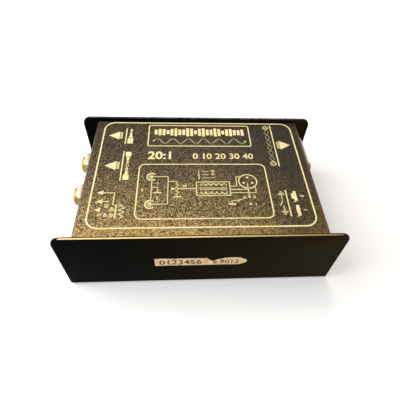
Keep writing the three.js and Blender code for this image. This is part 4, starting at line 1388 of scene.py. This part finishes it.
# %% Socket shell
low, high = span("xlr_shell")
FLANGE_FACE = wall + 1.8
FLANGE_CORNER = 3.5
BARREL = 11.6
KEY_HALF = 2.3
MOUTH = 8.2
RIM = 10.4
deselect()
bpy.ops.mesh.primitive_plane_add(
    size=1,
    location=(wall * MM, socket.y * MM, socket.z * MM),
    rotation=(0, math.radians(90), 0),
)
shell = named("xlr_shell_cast")
shell.scale = ((high.z - low.z) * MM, (high.y - low.y) * MM, 1)
apply_place(shell)
edit(shell)
bpy.ops.mesh.bevel(offset=FLANGE_CORNER * MM, segments=10, affect="VERTICES")
bpy.ops.mesh.select_all(action="SELECT")
thickness = {"value": ((FLANGE_FACE - wall) * MM, 0, 0)}
bpy.ops.mesh.extrude_region_move(TRANSFORM_OT_translate=thickness)
bpy.ops.mesh.select_all(action="SELECT")
bpy.ops.mesh.normals_make_consistent(inside=False)
deselect()
soften(shell, 0.45, segments=4)
barrel = [
    (low.x, 0),
    (low.x, BARREL - 0.3),
    (low.x + 0.3, BARREL),
    (wall + 0.6, BARREL),
    (wall + 0.6, RIM + 0.25),
    (FLANGE_FACE, RIM + 0.25),
    (FLANGE_FACE + 0.2, RIM),
    (high.x - 0.2, RIM - 0.1),
    (high.x, RIM - 0.35),
    (high.x, MOUTH + 0.6),
    (high.x - 0.2, 0),
]
carve(shell, lathe("barrel", barrel, (0, socket.y, socket.z), sides=96), "UNION")
mouth = [
    (low.x - 1, 0),
    (low.x - 1, MOUTH + 0.1),
    (high.x - 0.7, MOUTH + 0.1),
    (high.x - 0.2, MOUTH + 0.3),
    (high.x + 0.2, MOUTH + 0.75),
    (high.x + 1, MOUTH + 0.75),
    (high.x + 1, 0),
]
carve(shell, lathe("mouth", mouth, (0, socket.y, socket.z), sides=96))
key_low = (FLANGE_FACE - 12, socket.y - KEY_HALF, socket.z + 6)
key_high = (high.x + 1, socket.y + KEY_HALF, socket.z + MOUTH + 1.3)
carve(shell, soften(slab("key", key_low, key_high), 0.4))
for index in (1, 2):
    bore(shell, SCREW_HOLE, middle(f"xlr_screw_{index}"), (wall - 1, high.x + 1), 32)
finished(shell, cast_zinc, replaces=["xlr_shell"])

# %% Socket insert and pins
PIN_HOLE = 1.22
PIN = 1.18
low, high = span("xlr_insert")
puck = [
    (low.x, 0),
    (low.x, 7.9),
    (high.x - 0.4, 8.0),
    (high.x - 0.1, 7.8),
    (high.x, 7.4),
    (high.x, 0),
]
insert = lathe("xlr_insert_moulded", puck, (0, socket.y, socket.z), sides=72)
for pin in (1, 2, 3):
    place = middle(f"xlr_pin_{pin}")
    well = [
        (high.x - 0.5, 0),
        (high.x - 0.5, 1.6),
        (high.x - 0.1, 1.75),
        (high.x + 0.5, 1.9),
        (high.x + 0.5, 0),
    ]
    carve(insert, lathe("well", well, (0, place.y, place.z), sides=32))
    bore(insert, PIN_HOLE, place, (low.x - 1, high.x + 1), 32)
finished(insert, black_abs, replaces=["xlr_insert"])

for pin in (1, 2, 3):
    low, high = span(f"xlr_pin_{pin}")
    place = middle(f"xlr_pin_{pin}")
    profile = [
        (low.x, 0),
        (low.x + 0.2, 0.9),
        (low.x + 6, 0.95),
        (low.x + 6.2, PIN),
        (high.x - 1.3, PIN),
        (high.x - 0.6, 0.98),
        (high.x - 0.15, 0.55),
        (high.x, 0),
    ]
    piece = lathe(f"xlr_pin_{pin}_turned", profile, (0, place.y, place.z), sides=32)
    finished(piece, nickel, replaces=[f"xlr_pin_{pin}"], angle=50)

# %% [markdown]
# ## Ground-lift button
#
# The button's cap is a round moulded cup with a shallow dish in its end, so that a finger or a pen
# finds it. It rides on the button's own body.

# %% Button cap
low, high = span("ground_switch_cap")
radius = (high.y - low.y) / 2
cap = lathe(
    "ground_switch_cap_moulded",
    [
        (low.x, 0),
        (low.x, radius - 0.25),
        (low.x + 0.25, radius),
        (high.x - 0.7, radius),
        (high.x - 0.3, radius - 0.1),
        (high.x - 0.06, radius - 0.4),
        (high.x, radius - 0.75),
        (high.x - 0.12, radius - 1.1),
        (high.x - 0.4, radius - 1.8),
        (high.x - 0.55, 0),
    ],
    (0, button.y, button.z),
    sides=64,
)
finished(cap, black_abs, body="ground_button", replaces=["ground_switch_cap"])

# %% [markdown]
# ## Paper label on the front plate
#
# A strip of copper-coloured paper is glued to the front plate. It is torn: a notch along its top and
# a ragged point at the right. The strip is a plane whose long edges are cut into short stretches, and
# whose edge points are then moved one by one. It carries plain digits in dark ink, half
# worn away.

# %% Torn label
LABEL_LOW = (-22.6, 16.6)
LABEL_HIGH = (20.6, 23.2)
LABEL_STEPS = 48
PAPER = 0.06
rng = random.Random(7)

deselect()
bpy.ops.mesh.primitive_grid_add(x_subdivisions=LABEL_STEPS, y_subdivisions=1, size=1)
label = named("paper_label")
label_length = LABEL_HIGH[0] - LABEL_LOW[0]
label_height = LABEL_HIGH[1] - LABEL_LOW[1]
label_mid = ((LABEL_HIGH[0] + LABEL_LOW[0]) / 2, (LABEL_HIGH[1] + LABEL_LOW[1]) / 2)
label.scale = (label_length * MM, label_height * MM, 1)
label.location = (label_mid[0] * MM, label_mid[1] * MM, 0)
apply_place(label)
edit(label)


def move_edge(test, amount):
    """Slides the picked points of the label's edge along its height or length, in mm."""
    if pick("VERT", test):
        bpy.ops.transform.translate(value=(amount[0] * MM, amount[1] * MM, 0))


half_step = label_length / LABEL_STEPS / 2
for step in range(LABEL_STEPS + 1):
    x = LABEL_LOW[0] + 2 * half_step * step
    top_cut = rng.uniform(0.0, 0.45)
    foot_cut = rng.uniform(0.0, 0.2)
    notch = max(0.0, 1.9 - abs(x - 4.6) * 0.75) + (0.9 if 2 < x < 9 else 0)
    point = max(0.0, (x - 16.5) / 4.1) ** 1.6 * 2.6
    move_edge(
        lambda c, x=x: abs(c.x - x) < half_step * 0.9 and c.y > LABEL_HIGH[1] - 0.05,
        (0, -top_cut - notch - point),
    )
    move_edge(
        lambda c, x=x: abs(c.x - x) < half_step * 0.9 and c.y < LABEL_LOW[1] + 0.05,
        (0, foot_cut + point * 0.8),
    )
edit(label)
bpy.ops.mesh.select_all(action="SELECT")
bpy.ops.mesh.normals_make_consistent(inside=False)
deselect()
modify(label, "SOLIDIFY", thickness=PAPER * MM, offset=1)
label.rotation_euler = (math.radians(90), 0, 0)
label.location = (0, (tray_low.y - 0.01) * MM, 0)


def label_paper():
    """Copper-coloured paper, creased and rubbed darker and paler in patches."""
    material = blank_material("copper_coloured_label_paper")
    patches = grain(material, 2.6, detail=4, roughness=0.65)
    fibre = grain(material, 0.5, detail=2)
    colour = ramp(
        material,
        patches,
        (0.3, "#d8a264"),
        (0.45, "#ffd596"),
        (0.6, "#fff0c4"),
        (0.75, "#ffc684"),
    )
    return surface(
        material,
        Base_Color=colour,
        Roughness=between(material, fibre, 0.5, 0.75),
        Normal=bump(material, patches, 0.12, 0.6),
    )


finished(label, label_paper())

number("0123456", (-20.6, 17.8), 4.1, bold=0.06)
number("8", (4.6, 17.9), 2.6, bold=0.03)
number("9012", (7.6, 17.9), 3.4, bold=0.04)
digits = join_strokes("label_digits")
digits.rotation_euler = (math.radians(90), 0, 0)
digits.location = (0, (tray_low.y - PAPER - 0.02) * MM, 0)
finished(digits, dark_ink)

# %% [markdown]
# ## Floor and light
#
# A plain pale floor carries the soft shadow. Its own colour is a light grey, and a little emission
# that only the camera and mirror-like reflections see lifts it to white, so the background is white
# without more light on the object. The world does the same for everything past the floor.
#
# One large lamp at the left gives the shadow on the right, and a warm one high behind the object
# adds to the golden sheen along the front of the cover and on the plates' top edges, which is also
# painted into their colours.

# %% Floor and world
def seen_directly(material_or_world):
    """1 for camera, glossy and transmission rays, and 0 for the rays that light the object."""
    path = add_node(material_or_world, "ShaderNodeLightPath")
    first = add_node(material_or_world, "ShaderNodeMath", operation="MAXIMUM")
    second = add_node(material_or_world, "ShaderNodeMath", operation="MAXIMUM")
    tree = material_or_world.node_tree
    tree.links.new(path.outputs["Is Camera Ray"], first.inputs[0])
    tree.links.new(path.outputs["Is Glossy Ray"], first.inputs[1])
    tree.links.new(first.outputs["Value"], second.inputs[0])
    tree.links.new(path.outputs["Is Transmission Ray"], second.inputs[1])
    return second.outputs["Value"]


FLOOR_SIZE = 8
FLOOR_DROP = 0.0002
FLOOR_LIFT = 0.3
LIFT_START = 0.2
LIFT_END = 0.9
floor_paper = blank_material("white_studio_paper")
paper_grain = grain(floor_paper, 3, detail=2)
paper = add_node(
    floor_paper,
    "ShaderNodeBsdfDiffuse",
    {"Color": ramp(floor_paper, paper_grain, (0.3, "#e8e8e8"), (0.7, "#ececec"))},
)
floor_place = add_node(floor_paper, "ShaderNodeTexCoord").outputs["Object"]
away = add_node(floor_paper, "ShaderNodeVectorMath", {"Vector": floor_place}, operation="LENGTH")
rising = add_node(
    floor_paper,
    "ShaderNodeMapRange",
    {
        "Value": away.outputs["Value"],
        "From Min": LIFT_START,
        "From Max": LIFT_END,
        "To Min": FLOOR_LIFT,
        "To Max": 1.0,
    },
)
lift = add_node(
    floor_paper,
    "ShaderNodeEmission",
    {"Strength": product(floor_paper, seen_directly(floor_paper), rising.outputs["Result"])},
)
both = add_node(floor_paper, "ShaderNodeAddShader")
floor_paper.node_tree.links.new(paper.outputs["BSDF"], both.inputs[0])
floor_paper.node_tree.links.new(lift.outputs["Emission"], both.inputs[1])
add_node(floor_paper, "ShaderNodeOutputMaterial", {"Surface": both.outputs["Shader"]})

deselect()
bpy.ops.mesh.primitive_plane_add(size=FLOOR_SIZE, location=(0, 0, -FLOOR_DROP))
floor = named("floor")
floor.data.materials.append(floor_paper)

world = bpy.data.worlds.new("soft_studio")
scene.world = world
world.use_nodes = True
world.node_tree.nodes.clear()
WORLD_LIGHT = 0.35
direct = seen_directly(world)
level = add_node(
    world,
    "ShaderNodeMapRange",
    {"Value": direct, "To Min": WORLD_LIGHT, "To Max": 1.0},
)
sky = add_node(
    world,
    "ShaderNodeBackground",
    {"Color": linear("#ffffff"), "Strength": level.outputs["Result"]},
)
add_node(world, "ShaderNodeOutputWorld", {"Surface": sky.outputs["Background"]})

# %% Lamps
def lamp(name, place, aim, size, power, colour):
    """A square area lamp at a place, turned towards a point, both in metres."""
    data = bpy.data.lights.new(name, "AREA")
    data.energy = power
    data.size = size
    data.color = linear(colour)[:3]
    made = bpy.data.objects.new(name, data)
    scene.collection.objects.link(made)
    made.location = place
    made.rotation_euler = (Vector(aim) - Vector(place)).to_track_quat("-Z", "Y").to_euler()
    print("lamp", name, power, "W")


lamp("key_lamp", (-0.55, 0.0, 0.55), (0, 0, 0.02), 0.6, 6.5, "#fffcf8")
lamp("sheen_lamp", (0.0, 0.40, 0.85), (0, -0.03, 0.04), 0.25, 2.2, "#fff0d8")
